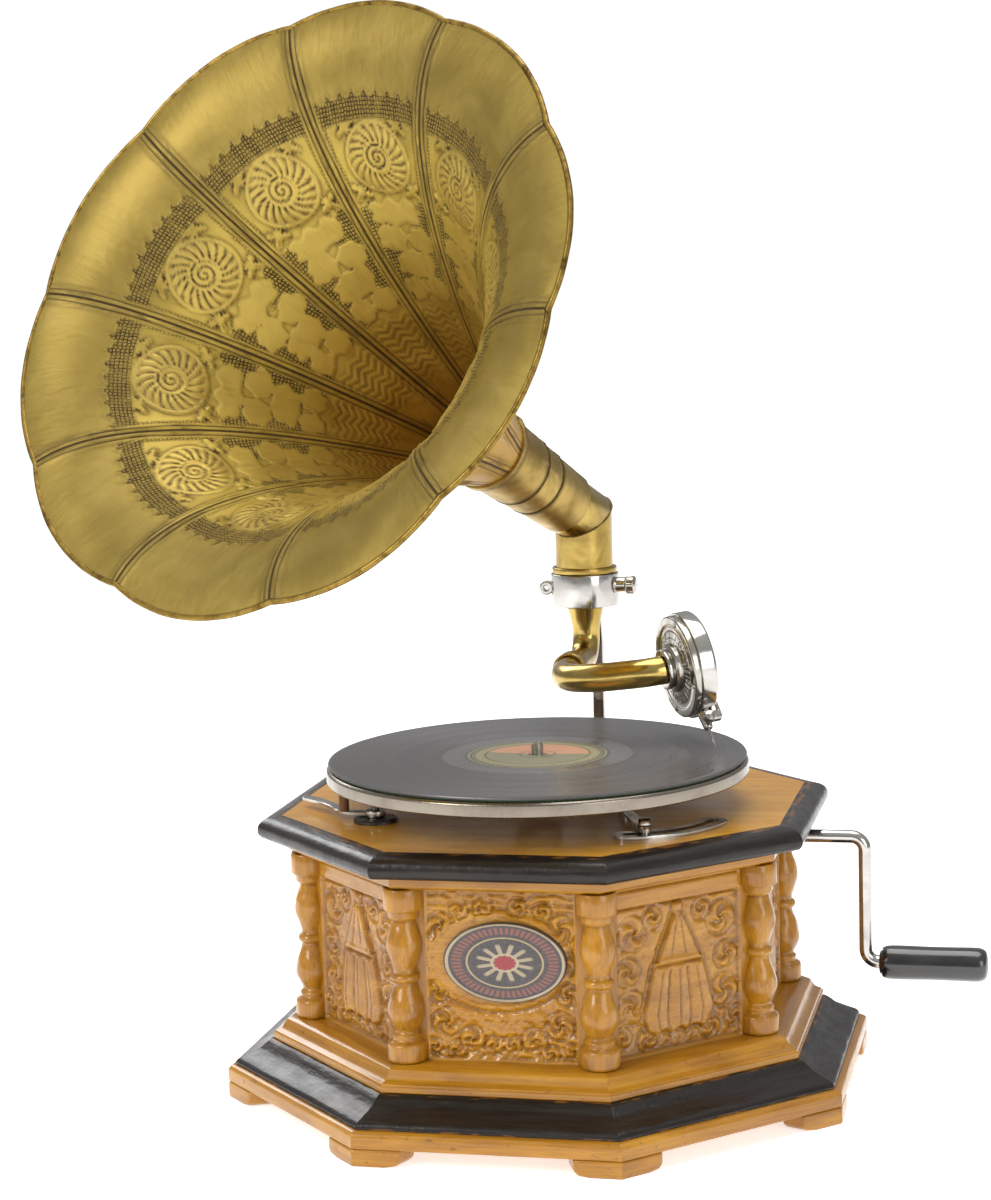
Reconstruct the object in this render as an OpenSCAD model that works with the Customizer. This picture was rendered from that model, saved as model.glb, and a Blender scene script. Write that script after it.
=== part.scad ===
// Wind-up table phonograph with an octagonal carved case and a ten-petal flower horn.
// Frame: origin on the table under the centre of the case, +Z up, -Y the front, +X the crank side.

/* [Case] */
// Centre to outer corner of the plinth
plinth_r = 200; // [195:1:205]
// Centre to outer corner of the carved walls
wall_r = 146; // [144:1:147]
// Thickness of the walls
wall_t = 9; // [8:0.5:10]
// Centre to corner of the flat lid board
board_r = 161.5; // [160:0.5:163]
// Centre to outer corner of the lid moulding
lid_r = 176.6; // [174:0.2:178]
// Height of the bracket feet
foot_h = 10; // [8:0.5:12]
// Height of the walls
wall_h = 110; // [108:1:112]
// Thickness of the lid
lid_t = 14; // [12:0.5:16]
// Width of the oval badge
badge_w = 71; // [60:1:76]
// Height of the oval badge
badge_h = 46; // [40:1:50]

/* [Turntable] */
// Spindle's distance in front of the case centre
spindle_back = 25.6; // [25:0.1:26]
// Radius of the record
record_r = 125; // [120:0.5:127]
// Radius of the paper label
label_r = 42; // [38:0.5:46]
// Radius of the spindle's pin
pin_r = 3.6; // [3.4:0.1:3.7]
// Height of the platter's top above the lid
platter_rise = 29.3; // [29:0.1:30]

/* [Tone arm and sound box] */
// Distance of the tone arm's pivot behind the case centre
pivot_back = 130; // [129:0.5:131]
// Outer radius of the tone arm tube
arm_r = 8.75; // [8.5:0.05:9]
// Height of the tone arm's axis above the lid
arm_rise = 67; // [66:0.5:68]
// Upward tilt of the gooseneck in degrees
gooseneck_tilt = 7.8; // [7.6:0.1:8]
// Radius of the sound box
soundbox_r = 32.5; // [31:0.5:33]
// Thickness of the sound box
soundbox_t = 15; // [14:0.5:16]

/* [Horn] */
// Number of petals
petals = 10; // [8:1:12]
// Direction of the horn's axis seen from above, in degrees
horn_azimuth = 248; // [240:1:256]
// Rise of the horn's axis in degrees
horn_rise = 26.6; // [24:0.1:30]
// Outer radius of the elbow tube
elbow_r = 18.5; // [18:0.1:19]
// Length of the conical neck from the elbow's bend
neck_len = 117; // [110:1:120]
// Depth of the flared bell
flare_len = 214; // [205:1:216]
// Radius of the bell where it meets the neck
throat_r = 24; // [23:0.5:25]
// Radius of the mouth at the seams
mouth_r = 178; // [170:1:180]
// How far each petal swells beyond the seams
scallop = 5; // [3:0.5:6]
// Thickness of the sheet brass
sheet_t = 1.2; // [1:0.1:1.4]

/* [Crank] */
// Radius of the crank rod
rod_r = 4; // [3.8:0.1:4.2]
// Length of the crank's arm
crank_arm = 77; // [70:1:80]
// Reach of the rod's arm from the case centre
crank_reach = 190; // [189:0.5:194]
// Length of the grip
grip_len = 65; // [60:1:70]
// Radius of the grip
grip_r = 10.35; // [9.5:0.05:11]

/* [Hidden] */
$fn = 64;

// Running clearance between a shaft and its bore
run = 0.05;
// Amount by which a cutting shape passes a face
cut = 1;

// Heights of the case from the table up
plinth_z = foot_h;
moulding_z = plinth_z + 10;
step_z = moulding_z + 14.5;
wall_z = step_z + 12.5;
rail_h = 9;
lid_z = wall_z + wall_h;
rail_z = lid_z - rail_h;
lid_top = lid_z + lid_t;
half_side = 22.5;
wall_face = wall_r * cos(half_side);
rail_r = 158;
rail_face = rail_r * cos(half_side);
// Stretch of wall beside each corner that belongs to the column's post
post_leg = 12.5;
panel_w = 2 * (wall_r * sin(half_side) - post_leg);

// Turntable heights
platter_top = lid_top + platter_rise;
platter_r = record_r + 1;
felt_t = 1;
record_t = 2;
record_top = platter_top + felt_t + record_t;
platter_t = 3;
rim_h = 8.8;
rim_w = 4;
hub_h = 18;
spindle_y = -spindle_back;
// The stretch of spindle inside platter and record is thicker than its free end
seat_r = pin_r + 0.4;

// Tone arm
arm_z = lid_top + arm_rise;
ring_z = arm_z + 34;
ring_h = 21;
ring_r = 22;
arm_bend = 16;
swivel_y = 72;
tube_t = 1;

// Gooseneck: two bends in one plane, in degrees and millimetres
first_turn = 80;
second_turn = 41;
second_bend = 22;
mid_run = 15;
soundbox_x = 83.5;
soundbox_y = 26.6;
soundbox_heading = first_turn + second_turn - 90;
mid_heading = first_turn - 90;
neck_run = soundbox_t / 2 + 9;
goose_end_x = soundbox_x - neck_run * cos(soundbox_heading);
goose_end_y = soundbox_y - neck_run * sin(soundbox_heading);
second_dx = second_bend * (sin(soundbox_heading) - sin(mid_heading));
second_dy = second_bend * (cos(mid_heading) - cos(soundbox_heading));
mid_dx = mid_run * cos(mid_heading);
mid_dy = mid_run * sin(mid_heading);
first_bend = (goose_end_x - second_dx - mid_dx) / (1 + sin(mid_heading));
first_y = goose_end_y - second_dy - mid_dy + first_bend * cos(mid_heading);
needle_reach = 56.9;
needle_turn = -32.2;
chuck_z = -1;

// Horn
horn_z = arm_z + 91.7;
seam_phase = 15.9;
petal_gap = 0.12;
neck_start = 25;
stub_end = 45;

// Crank
crank_y = 20;
crank_z = lid_z - 10.5;
crank_bend = 8;
crank_inner = -20;
bush_start = 118;
grip_x = crank_reach + crank_bend + 0.5;
grip_z = crank_z - crank_arm;

// Motor: plates hung under the lid
bed_z = lid_z - 6;
plate_t = 3;
floor_z = 84;
barrel_x = -40;
barrel_y = crank_y;
barrel_teeth = 64;
wheel_teeth = 60;
pinion_teeth = 12;
barrel_mod = 1.25;
wheel_mod = 0.8;
winding_teeth = 48;
winding_mod = 1;
worm_teeth = 30;
worm_starts = 3;
worm_r = 5;
governor_z = 120;
governor_y = spindle_y - worm_teeth / 2 - worm_r;
drum_r = 38;
winding_r = winding_teeth * winding_mod / 2;
contrate_z = crank_z - pinion_teeth * winding_mod / 2;
arbor_r = 4;
speed_x = 55.6;
speed_y = -46.2;
slot_r = 58.1;
slot_start = -77.7;
slot_end = -16.3;
pointer_turn = -67.5;
brake_x = -88;
brake_y = -73;
lug_r = 7;

// Intermediate arbor: one gear centre distance from the barrel, the other from the spindle
to_barrel = (barrel_teeth + pinion_teeth) * barrel_mod / 2;
to_spindle = (wheel_teeth + pinion_teeth) * wheel_mod / 2;
span_x = barrel_x;
span_y = barrel_y - spindle_y;
span = sqrt(span_x * span_x + span_y * span_y);
along = (to_spindle * to_spindle - to_barrel * to_barrel + span * span) / (2 * span);
aside = sqrt(to_spindle * to_spindle - along * along);
middle_x = (along * span_x - aside * span_y) / span;
middle_y = spindle_y + (along * span_y + aside * span_x) / span;
barrel_angle = atan2(barrel_y - middle_y, barrel_x - middle_x);
spindle_angle = atan2(spindle_y - middle_y, -middle_x);

pillar_spots = [[-88, 50], [-70, -50], [68, -66], [62, 46]];
screw_spots = [[-92, 10], [-50, -58], [74, -40], [30, 52]];
plate_outline = [[-100, 60], [-100, 0], [-82, -62], [84, -78], [84, -20], [74, 60]];
bracket_spots = [[-10, 92], [10, 92], [-10, 128], [10, 128]];

// Shared shapes

// Octagonal board or rail whose section is given as [corner radius, height] points
module octagon_rail(section) {
    rotate(half_side)
        rotate_extrude($fn = 8)
            polygon(section);
}

module octagon_board(r, z, h) {
    translate([0, 0, z])
        rotate(half_side)
            linear_extrude(h)
                circle(r = r, $fn = 8);
}

module turned(section) {
    rotate_extrude()
        polygon(section);
}

module tube(r, bore, h) {
    difference() {
        cylinder(r = r, h = h);
        translate([0, 0, -cut])
            cylinder(r = bore, h = h + 2 * cut);
    }
}

// Round section of a bar, or of a tube where bore is not 0
module round_section(r, bore) {
    difference() {
        circle(r = r);
        if (bore > 0)
            circle(r = bore);
    }
}

// Bar or tube along +X, with what follows at its far end; lap carries it a hair into its neighbours
module run_bar(length, r, bore = 0, lap = 0) {
    translate([-lap, 0, 0])
        rotate([0, 90, 0])
            linear_extrude(length + 2 * lap)
                round_section(r, bore);
    translate([length, 0, 0])
        children();
}

// Bar or tube bent to the left of +X, with what follows at its far end
module bend_bar(radius, turn, r, bore = 0) {
    translate([0, radius, 0]) {
        rotate(-90)
            rotate_extrude(angle = turn)
                translate([radius, 0])
                    round_section(r, bore);
        rotate(turn)
            translate([0, -radius, 0])
                children();
    }
}

// Unit normal of a path at point i
function path_dir(path, i) =
    let (a = path[max(i - 1, 0)], b = path[min(i + 1, len(path) - 1)], d = b - a)
    d / norm(d);
function path_side(path, i, w) =
    let (d = path_dir(path, i))
    path[i] + w * [-d[1], d[0]];

// Flat strip of width w that follows a path
module ribbon(path, w) {
    last = len(path) - 1;
    polygon(concat(
        [for (i = [0 : last]) path_side(path, i, w / 2)],
        [for (i = [last : -1 : 0]) path_side(path, i, -w / 2)]));
}

// Spur gear outline: teeth a little thinner than their spaces, with relieved tips
module gear_outline(teeth, mod, slim = 0.42) {
    pitch_r = teeth * mod / 2;
    root_r = pitch_r - 1.2 * mod;
    tip_r = pitch_r + 0.9 * mod;
    step = 360 / teeth;
    polygon([for (i = [0 : teeth - 1])
        for (p = [[root_r, -0.30], [pitch_r, -slim / 2], [tip_r, -slim / 4.5],
                  [tip_r, slim / 4.5], [pitch_r, slim / 2], [root_r, 0.30]])
            p[0] * [cos(step * (i + p[1])), sin(step * (i + p[1]))]]);
}

module gear(teeth, mod, h, bore) {
    linear_extrude(h)
        difference() {
            gear_outline(teeth, mod);
            circle(r = bore);
        }
}

module at_spindle(z) {
    translate([0, spindle_y, z])
        children();
}

module at_horn() {
    translate([0, pivot_back, horn_z])
        rotate([0, 90 - horn_rise, horn_azimuth])
            children();
}

module at_gooseneck() {
    translate([0, 0, arm_z])
        rotate([0, -gooseneck_tilt, 0])
            children();
}

// Sound box frame: local +Z along its axis towards the diaphragm, +X down
module at_soundbox() {
    at_gooseneck()
        translate([soundbox_x, soundbox_y, 0])
            rotate(soundbox_heading)
                rotate([0, 90, 0])
                    children();
}

module along_governor(x) {
    translate([x, governor_y, governor_z])
        rotate([0, 90, 0])
            children();
}

// Case

module corner_feet() {
    leg = 27;
    color("goldenrod")
        for (k = [0 : 7])
            rotate(half_side + 45 * k)
                intersection() {
                    rotate(-half_side)
                        octagon_rail([[plinth_r - 14, 0], [plinth_r, 0],
                            [plinth_r, foot_h], [plinth_r - 14, foot_h]]);
                    translate([plinth_r - 40, -leg * cos(half_side), 0])
                        cube([40, 2 * leg * cos(half_side), foot_h]);
                }
}

module plinth() {
    edge = 2.5;
    color("goldenrod")
        octagon_rail([[150, plinth_z], [plinth_r, plinth_z], [plinth_r, moulding_z - edge],
            [plinth_r - edge, moulding_z], [150, moulding_z]]);
}

module base_moulding() {
    h = step_z - moulding_z;
    color("black")
        octagon_rail([[150, moulding_z], [195.3, moulding_z], [193.5, moulding_z + 3],
            [186, moulding_z + 0.42 * h], [178, moulding_z + 0.74 * h],
            [172, step_z], [150, step_z]]);
}

module base_step() {
    color("goldenrod")
        octagon_rail([[130, step_z], [172, step_z], [172, step_z + 3.5],
            [165, step_z + 7.5], [160, wall_z], [130, wall_z]]);
}

module base_board() {
    color("peru")
        octagon_board(150, 22, 8);
}

// Wall panel facing +X, before it is turned to its side of the case
module panel() {
    translate([wall_face - wall_t, -panel_w / 2, wall_z])
        cube([wall_t, panel_w, wall_h]);
}

module front_panel() {
    color("goldenrod")
        rotate(-90)
            panel();
}

module crank_panel() {
    color("goldenrod")
        difference() {
            panel();
            translate([bush_start, crank_y, crank_z])
                rotate([0, 90, 0])
                    cylinder(r = 6.5, h = 40);
        }
}

module side_panels() {
    color("goldenrod")
        difference() {
            for (side = [1 : 5])
                rotate(45 * side)
                    panel();
            for (p = bracket_spots)
                translate([p[0], wall_face - wall_t - cut, p[1]])
                    rotate([-90, 0, 0])
                        cylinder(r = 2, h = wall_t + 2 * cut);
        }
    color("goldenrod")
        rotate(-45)
            panel();
}

// Turned three-quarter column with the wall post that it is glued to
module corner_columns() {
    c = cos(half_side);
    s = sin(half_side);
    post_in = wall_r - wall_t / c;
    post = [[wall_r, 0], [wall_r - post_leg * s, post_leg * c],
        [wall_r - post_leg * s - wall_t * c, post_leg * c - wall_t * s], [post_in, 0],
        [wall_r - post_leg * s - wall_t * c, wall_t * s - post_leg * c],
        [wall_r - post_leg * s, -post_leg * c]];
    column = [[0, 0], [11.5, 0], [11.5, 11], [8.5, 12.5], [8.5, 16], [7, 18], [10.5, 26],
        [10, 34], [6.5, 44], [6.5, 46], [8.5, 48.5], [6.5, 51], [6.5, 54], [10, 64], [9.5, 72],
        [6.5, 82], [9, 84.4], [9, 88], [11.5, 88], [11.5, rail_z - wall_z], [0, rail_z - wall_z]];
    color("goldenrod")
        for (k = [0 : 7])
            rotate(half_side + 45 * k)
                translate([0, 0, wall_z]) {
                    linear_extrude(wall_h)
                        polygon(post);
                    translate([wall_r, 0, 0])
                        turned(column);
                }
}

module top_rail() {
    color("goldenrod")
        difference() {
            octagon_rail([[wall_r, rail_z], [rail_r - 3, rail_z], [rail_r, rail_z + 2],
                [rail_r, lid_z], [wall_r, lid_z]]);
            translate([bush_start, crank_y, crank_z])
                rotate([0, 90, 0])
                    cylinder(r = 6.5, h = 40);
        }
}

module lid_board() {
    color("orange")
        difference() {
            octagon_board(board_r, lid_z, lid_t);
            at_spindle(lid_z - cut)
                cylinder(r = 9, h = lid_t + 2 * cut);
            translate([speed_x, speed_y, lid_z - cut])
                cylinder(r = 3.5, h = lid_t + 2 * cut);
            for (p = screw_spots)
                translate([p[0], p[1], lid_z - cut])
                    cylinder(r = 2, h = 8 + cut);
        }
}

module lid_moulding() {
    bull = lid_r - board_r;
    color("black")
        octagon_rail([[board_r, lid_z], [lid_r - 6, lid_z], [lid_r - 1.5, lid_z + 2.2],
            [lid_r, lid_z + 5.5], [lid_r - 1.5, lid_z + 9], [lid_r - 0.4 * bull, lid_top - 1.8],
            [lid_r - 0.7 * bull, lid_top - 0.4], [board_r, lid_top]]);
}

module name_badge() {
    badge_x = 3;
    badge_z = 106;
    sides = 40;
    color("dimgray")
        translate([badge_x, -wall_face, badge_z])
            rotate([90, 0, 0])
                linear_extrude(3.5)
                    polygon([for (i = [0 : sides - 1])
                        [badge_w / 2 * cos(360 * i / sides), badge_h / 2 * sin(360 * i / sides)]]);
}

module crank_escutcheon() {
    color("gold")
        translate([0, crank_y, crank_z])
            rotate([0, 90, 0])
                difference() {
                    union() {
                        translate([0, 0, bush_start])
                            cylinder(r = 6.5, h = rail_face - bush_start);
                        translate([0, 0, rail_face])
                            cylinder(r = 10, h = 2);
                    }
                    translate([0, 0, bush_start - cut])
                        cylinder(r = rod_r + run, h = 40);
                }
}

// Horn bracket: a bar screwed to the back wall, brazed to the ring that holds horn and tone arm
module rear_bracket() {
    bar_w = 8;
    foot_w = 32;
    foot_t = 5;
    curve = [[wall_face + 1, 104], [150, 106], [160, 113], [166, 124], [168.4, 138], [168.6, 180],
        [168.4, 232], [166, 250], [160.5, 266], [154, 276], [148.4, 281]];
    color("silver")
        difference() {
            union() {
                translate([bar_w / 2, 0, 0])
                    rotate([0, -90, 0])
                        linear_extrude(bar_w)
                            mirror([1, -1])
                                ribbon(curve, 7);
                translate([-foot_w / 2, wall_face, 82])
                    cube([foot_w, foot_t, 56]);
            }
            translate([0, pivot_back, ring_z - cut])
                cylinder(r = ring_r, h = ring_h + 2 * cut);
            for (p = bracket_spots)
                translate([p[0], wall_face - cut, p[1]])
                    rotate([-90, 0, 0])
                        cylinder(r = 2, h = foot_t + 2 * cut);
        }
}

module bracket_ring() {
    color("silver")
        translate([0, pivot_back, ring_z])
            difference() {
                union() {
                    cylinder(r = ring_r, h = ring_h);
                    translate([0, 0, 13])
                        rotate([0, 90, 0])
                            cylinder(r = 5, h = ring_r + 5);
                }
                translate([0, 0, 4])
                    cylinder(r = elbow_r + run, h = ring_h);
                translate([0, 0, -cut])
                    cylinder(r = 13 + run, h = ring_h);
                translate([0, 0, 13])
                    rotate([0, 90, 0])
                        cylinder(r = 2 + run, h = 40);
            }
}

module bracket_screws() {
    color("silver")
        for (p = bracket_spots)
            translate([p[0], 0, p[1]])
                rotate([-90, 0, 0])
                    turned([[0, wall_face - 7], [2, wall_face - 5], [2, wall_face + 5],
                        [4, wall_face + 5], [3.2, wall_face + 6.8], [0, wall_face + 7.5]]);
}

module clamp_screw() {
    tip = ring_r - 0.8;
    start = ring_r + 5.4;
    color("silver")
        translate([0, pivot_back, ring_z + 13])
            rotate([0, 90, 0])
                turned([[0, tip], [2, tip], [2, start], [6, start],
                    [6, start + 5], [4, start + 6.5], [0, start + 6.5]]);
}

// Horn

// Section of the bell at fraction t from throat to mouth: [distance along the axis, radius]
function flare(t) =
    [neck_len + 0.35 + flare_len * (1 - (1 - t) * (1 - t)), throat_r + (mouth_r - throat_r) * t];

// Point of a petal: t from throat to mouth, u from seam (-1) to seam (1), out = metal outside
function petal_point(k, t, u, out) =
    let (d = flare(t),
         slope = [2 * flare_len * (1 - t), mouth_r - throat_r],
         length = norm(slope),
         swell = scallop * pow(t, 3) * (1 - u * u),
         r = d[1] + swell + out * slope[0] / length,
         z = d[0] - out * slope[1] / length,
         half = 180 / petals - petal_gap,
         a = seam_phase + (k + 0.5) * 360 / petals + u * half)
    [r * cos(a), r * sin(a), z];

module petal(k) {
    rows = 12;
    cols = 4;
    side = (rows + 1) * (cols + 1);
    function at(layer, i, j) = layer * side + i * (cols + 1) + j;
    points = [for (layer = [0, 1]) for (i = [0 : rows]) for (j = [0 : cols])
        petal_point(k, i / rows, 2 * j / cols - 1, layer * sheet_t)];
    skin = [for (layer = [0, 1]) for (i = [0 : rows - 1]) for (j = [0 : cols - 1])
        let (q = [at(layer, i, j), at(layer, i + 1, j), at(layer, i + 1, j + 1), at(layer, i, j + 1)])
        each (layer == 0 ? [[q[0], q[2], q[1]], [q[0], q[3], q[2]]]
                         : [[q[0], q[1], q[2]], [q[0], q[2], q[3]]])];
    seams = [for (i = [0 : rows - 1]) each [
        [at(0, i, 0), at(0, i + 1, 0), at(1, i + 1, 0)], [at(0, i, 0), at(1, i + 1, 0), at(1, i, 0)],
        [at(0, i, cols), at(1, i + 1, cols), at(0, i + 1, cols)],
        [at(0, i, cols), at(1, i, cols), at(1, i + 1, cols)]]];
    ends = [for (j = [0 : cols - 1]) each [
        [at(0, 0, j), at(1, 0, j + 1), at(0, 0, j + 1)], [at(0, 0, j), at(1, 0, j), at(1, 0, j + 1)],
        [at(0, rows, j), at(0, rows, j + 1), at(1, rows, j + 1)],
        [at(0, rows, j), at(1, rows, j + 1), at(1, rows, j)]]];
    polyhedron(points, concat(skin, seams, ends));
}

module horn_petals() {
    color("darkgoldenrod")
        at_horn()
            for (k = [0 : petals - 1])
                petal(k);
}

// Wired edge: a thin roll that follows the scalloped mouth
module horn_rim() {
    per_petal = 8;
    sides = 8;
    wire_r = 1.8;
    rings = petals * per_petal;
    function mouth(i) =
        let (k = floor(i / per_petal), u = 2 * (i - k * per_petal) / per_petal - 1)
        mouth_r + wire_r + 0.05 + scallop * (1 - u * u);
    points = [for (i = [0 : rings - 1]) for (j = [0 : sides - 1])
        let (a = seam_phase + 360 * i / rings,
             r = mouth(i) + wire_r * cos(360 * j / sides),
             z = flare(1)[0] - sheet_t / 2 + wire_r * sin(360 * j / sides))
        [r * cos(a), r * sin(a), z]];
    faces = [for (i = [0 : rings - 1]) for (j = [0 : sides - 1])
        let (n = (i + 1) % rings, m = (j + 1) % sides)
        each [[i * sides + j, i * sides + m, n * sides + m],
              [i * sides + j, n * sides + m, n * sides + j]]];
    color("saddlebrown")
        at_horn()
            polyhedron(points, faces);
}

module horn_neck() {
    socket = elbow_r + 0.2 + run;
    color("darkgoldenrod")
        at_horn()
            turned([[socket, neck_start], [socket + 1, neck_start], [24.5, neck_len - 5],
                [27, neck_len - 4], [27, neck_len], [23.4, neck_len],
                [socket, stub_end + 2]]);
}

// Elbow: two tubes mitred and soldered, with a collar that rests on the bracket's ring
module horn_elbow() {
    bottom = ring_z + 7.6 - horn_z;
    bevel = (90 - horn_rise) / 2;
    wall = 1.2;
    module half(below) {
        rotate([0, bevel, 0])
            translate([-60, -60, below ? -120 : 0])
                cube([120, 120, 120]);
    }
    module bent(r) {
        intersection() {
            translate([0, 0, bottom - cut])
                cylinder(r = r, h = 100);
            half(true);
        }
        intersection() {
            rotate([0, 90 - horn_rise, 0])
                translate([0, 0, -40])
                    cylinder(r = r + (r > elbow_r - 0.1 ? 0.2 : 0), h = 40 + stub_end);
            half(false);
        }
    }
    color("gold")
        translate([0, pivot_back, horn_z])
            rotate(horn_azimuth)
                difference() {
                    union() {
                        bent(elbow_r);
                        translate([0, 0, ring_z + ring_h + 0.3 - horn_z])
                            cylinder(r = 21, h = 4);
                    }
                    bent(elbow_r - wall);
                    translate([-30, -30, bottom - 10])
                        cube([60, 60, 10]);
                    rotate([0, 90 - horn_rise, 0])
                        translate([0, 0, stub_end - cut])
                            cylinder(r = elbow_r - wall, h = 2 * cut);
                }
}

// Tone arm

module tonearm_tube() {
    drop = ring_z - arm_z - arm_bend;
    bore = arm_r - tube_t;
    color("gold") {
        translate([0, pivot_back, arm_z + arm_bend]) {
            turned([[bore, 0], [arm_r, 0], [12, drop - 0.5], [13, drop - 0.5],
                [13, drop + 4.3], [17, drop + 4.3], [17, drop + 7.3], [11, drop + 7.3], [11, drop]]);
            rotate([0, 90, 180])
                bend_bar(arm_bend, 90, arm_r, bore)
                    run_bar(pivot_back - arm_bend - swivel_y - 8, arm_r, bore);
        }
        translate([0, swivel_y + 12, arm_z])
            rotate([90, 0, 0])
                turned([[arm_r - 0.2, 0], [arm_r + 2, 0], [arm_r + 2, 12], [arm_r + run, 12],
                    [arm_r + run, 4], [arm_r - 0.2, 4]]);
    }
}

module gooseneck() {
    bore = arm_r - tube_t;
    // The bends are a hair slimmer than the straight stretches that run into them
    slim = 0.03;
    lap = 0.05;
    color("gold")
        at_gooseneck()
            translate([0, swivel_y + 7, 0])
                rotate(-90)
                    run_bar(swivel_y + 7 - first_y, arm_r, bore, lap)
                        bend_bar(first_bend, first_turn, arm_r - slim, bore + slim)
                            run_bar(mid_run, arm_r, bore, lap)
                                bend_bar(second_bend, second_turn, arm_r - slim, bore + slim);
}

module soundbox_back() {
    back = soundbox_t / 2;
    color("silver")
        at_soundbox()
            turned([[arm_r - 1, -neck_run + 0.6], [12.5, -neck_run + 0.6], [12.5, -back - 5],
                [15, -back - 3.5], [15, -back], [30.5, -back], [31.3, -back + 0.8], [31.3, -3],
                [arm_r - 1, -3]]);
}

module soundbox_rim() {
    back = soundbox_t / 2;
    color("gainsboro")
        at_soundbox()
            difference() {
                turned([[28, -3], [soundbox_r, -3], [soundbox_r, back - 1.5],
                    [soundbox_r - 1.5, back], [24, back], [24, back - 3], [28, back - 3]]);
                rotate(needle_turn)
                    translate([20, -4, chuck_z - 3.5])
                        cube([20, 8, 20]);
            }
}

module soundbox_gasket() {
    color("dimgray")
        at_soundbox()
            translate([0, 0, -3])
                tube(r = 28, bore = 25.4, h = 5);
}

module diaphragm() {
    color("lightgray")
        at_soundbox()
            translate([0, 0, 2])
                cylinder(r = 27.5, h = 0.6);
}

module stylus_bar() {
    color("silver")
        at_soundbox()
            rotate(needle_turn)
                difference() {
                    union() {
                        translate([0, 0, 2.6])
                            cylinder(r = 1.6, h = 7.4);
                        translate([0, -1.5, 8])
                            cube([38, 3, 2]);
                        translate([33.2, -3.5, chuck_z - 3])
                            cube([11, 7, 13 - chuck_z]);
                    }
                    translate([36, 0, chuck_z])
                        rotate([0, 90, 0])
                            cylinder(r = 0.9, h = 20);
                    translate([39.5, 0, chuck_z])
                        rotate([90, 0, 0])
                            cylinder(r = 1.5 + run, h = 10);
                }
}

module needle() {
    point_len = 5;
    color("lightgray")
        at_soundbox()
            rotate(needle_turn)
                translate([36, 0, chuck_z])
                    rotate([0, 90, 0])
                        turned([[0, 0], [0.9, 0], [0.9, needle_reach - 36 - point_len],
                            [0, needle_reach - 36]]);
}

module needle_screw() {
    color("silver")
        at_soundbox()
            rotate(needle_turn)
                translate([39.5, -1.3, chuck_z])
                    rotate([90, 0, 0])
                        turned([[0, 0], [1.5, 0], [1.5, 4], [3.6, 4], [3.6, 8.5], [2.6, 9.5], [0, 9.5]]);
}

// Turntable

module platter() {
    bottom = platter_top - hub_h;
    color("silver")
        at_spindle(0)
            turned([[seat_r, bottom], [14, bottom], [14, platter_top - platter_t],
                [platter_r - rim_w, platter_top - platter_t], [platter_r - rim_w, platter_top],
                [seat_r, platter_top]]);
}

// Rolled rim shrunk on to the platter, with a skirt that the brake pad works inside
module platter_rim() {
    skirt_z = platter_top - rim_h;
    color("silver")
        at_spindle(0)
            turned([[platter_r - rim_w, skirt_z], [platter_r - 0.8, skirt_z],
                [platter_r, skirt_z + 0.8], [platter_r, platter_top - 1.5],
                [platter_r - 1.5, platter_top], [platter_r - rim_w, platter_top]]);
}

module felt_mat() {
    color("darkslategray")
        at_spindle(platter_top)
            tube(r = record_r - 2, bore = seat_r + run, h = felt_t);
}

module record() {
    color("black")
        at_spindle(platter_top + felt_t)
            difference() {
                tube(r = record_r, bore = seat_r + run, h = record_t);
                translate([0, 0, record_t - 0.2])
                    cylinder(r = label_r, h = 1);
            }
}

module record_label() {
    color("darkkhaki")
        at_spindle(record_top - 0.2)
            tube(r = label_r, bore = seat_r + run, h = 0.2);
}

module spindle() {
    shoulder = platter_top - hub_h;
    color("lightgray")
        at_spindle(0) {
            turned([[0, floor_z], [2.5, floor_z], [2.5, floor_z + plate_t + 0.3],
                [4, floor_z + plate_t + 0.3], [4, shoulder - 4], [6.5, shoulder - 4],
                [6.5, shoulder], [seat_r, shoulder], [seat_r, record_top], [pin_r, record_top],
                [pin_r, record_top + 6],
                [pin_r - 1, record_top + 7.6], [0, record_top + 8]]);
            translate([0, 0, 90])
                rotate(spindle_angle)
                    linear_extrude(6)
                        gear_outline(pinion_teeth, wheel_mod);
        }
}

module worm_wheel() {
    color("goldenrod")
        at_spindle(governor_z - 1)
            rotate(90)
                gear(worm_teeth, 1, 2, 4);
}

// Brake and speed control

module brake_plate() {
    color("dimgray")
        translate([brake_x, brake_y, lid_top]) {
            cylinder(r = 13, h = 2.5);
            cylinder(r = 2.5, h = 12);
        }
}

module brake_lever() {
    route = [[brake_x - 4, brake_y + 0.4], [-107.6, -71], [-117, -58.5], [-130, -44], [-143.7, -33.3]];
    color("dimgray")
        translate([0, 0, lid_top + 3])
            difference() {
                union() {
                    translate([brake_x, brake_y, 0])
                        cylinder(r = 6, h = 4);
                    translate([0, 0, 1])
                        linear_extrude(2)
                            ribbon(route, 6);
                }
                translate([brake_x, brake_y, -cut])
                    cylinder(r = 2.5 + run, h = 8);
            }
}

module brake_pad() {
    color("sienna")
        translate([-107.3, -72.1, lid_top + 6])
            cylinder(r = 3, h = 18);
}

// Annular sector with round ends about the origin
module curved_slot(r, half_w, from, to) {
    rotate(from)
        rotate_extrude(angle = to - from)
            translate([r - half_w, 0])
                square([2 * half_w, 10]);
    for (a = [from, to])
        rotate(a)
            translate([r, 0, 0])
                cylinder(r = half_w, h = 10);
}

module speed_plate() {
    plate_h = 2.3;
    color("dimgray")
        translate([speed_x, speed_y, lid_top])
            intersection() {
                difference() {
                    curved_slot(slot_r, 8, slot_start, slot_end);
                    translate([0, 0, -cut])
                        curved_slot(slot_r, 3, slot_start, slot_end);
                    translate([0, 0, plate_h])
                        curved_slot(slot_r, 3, slot_start, slot_end);
                }
                cylinder(r = 80, h = plate_h);
            }
}

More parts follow.
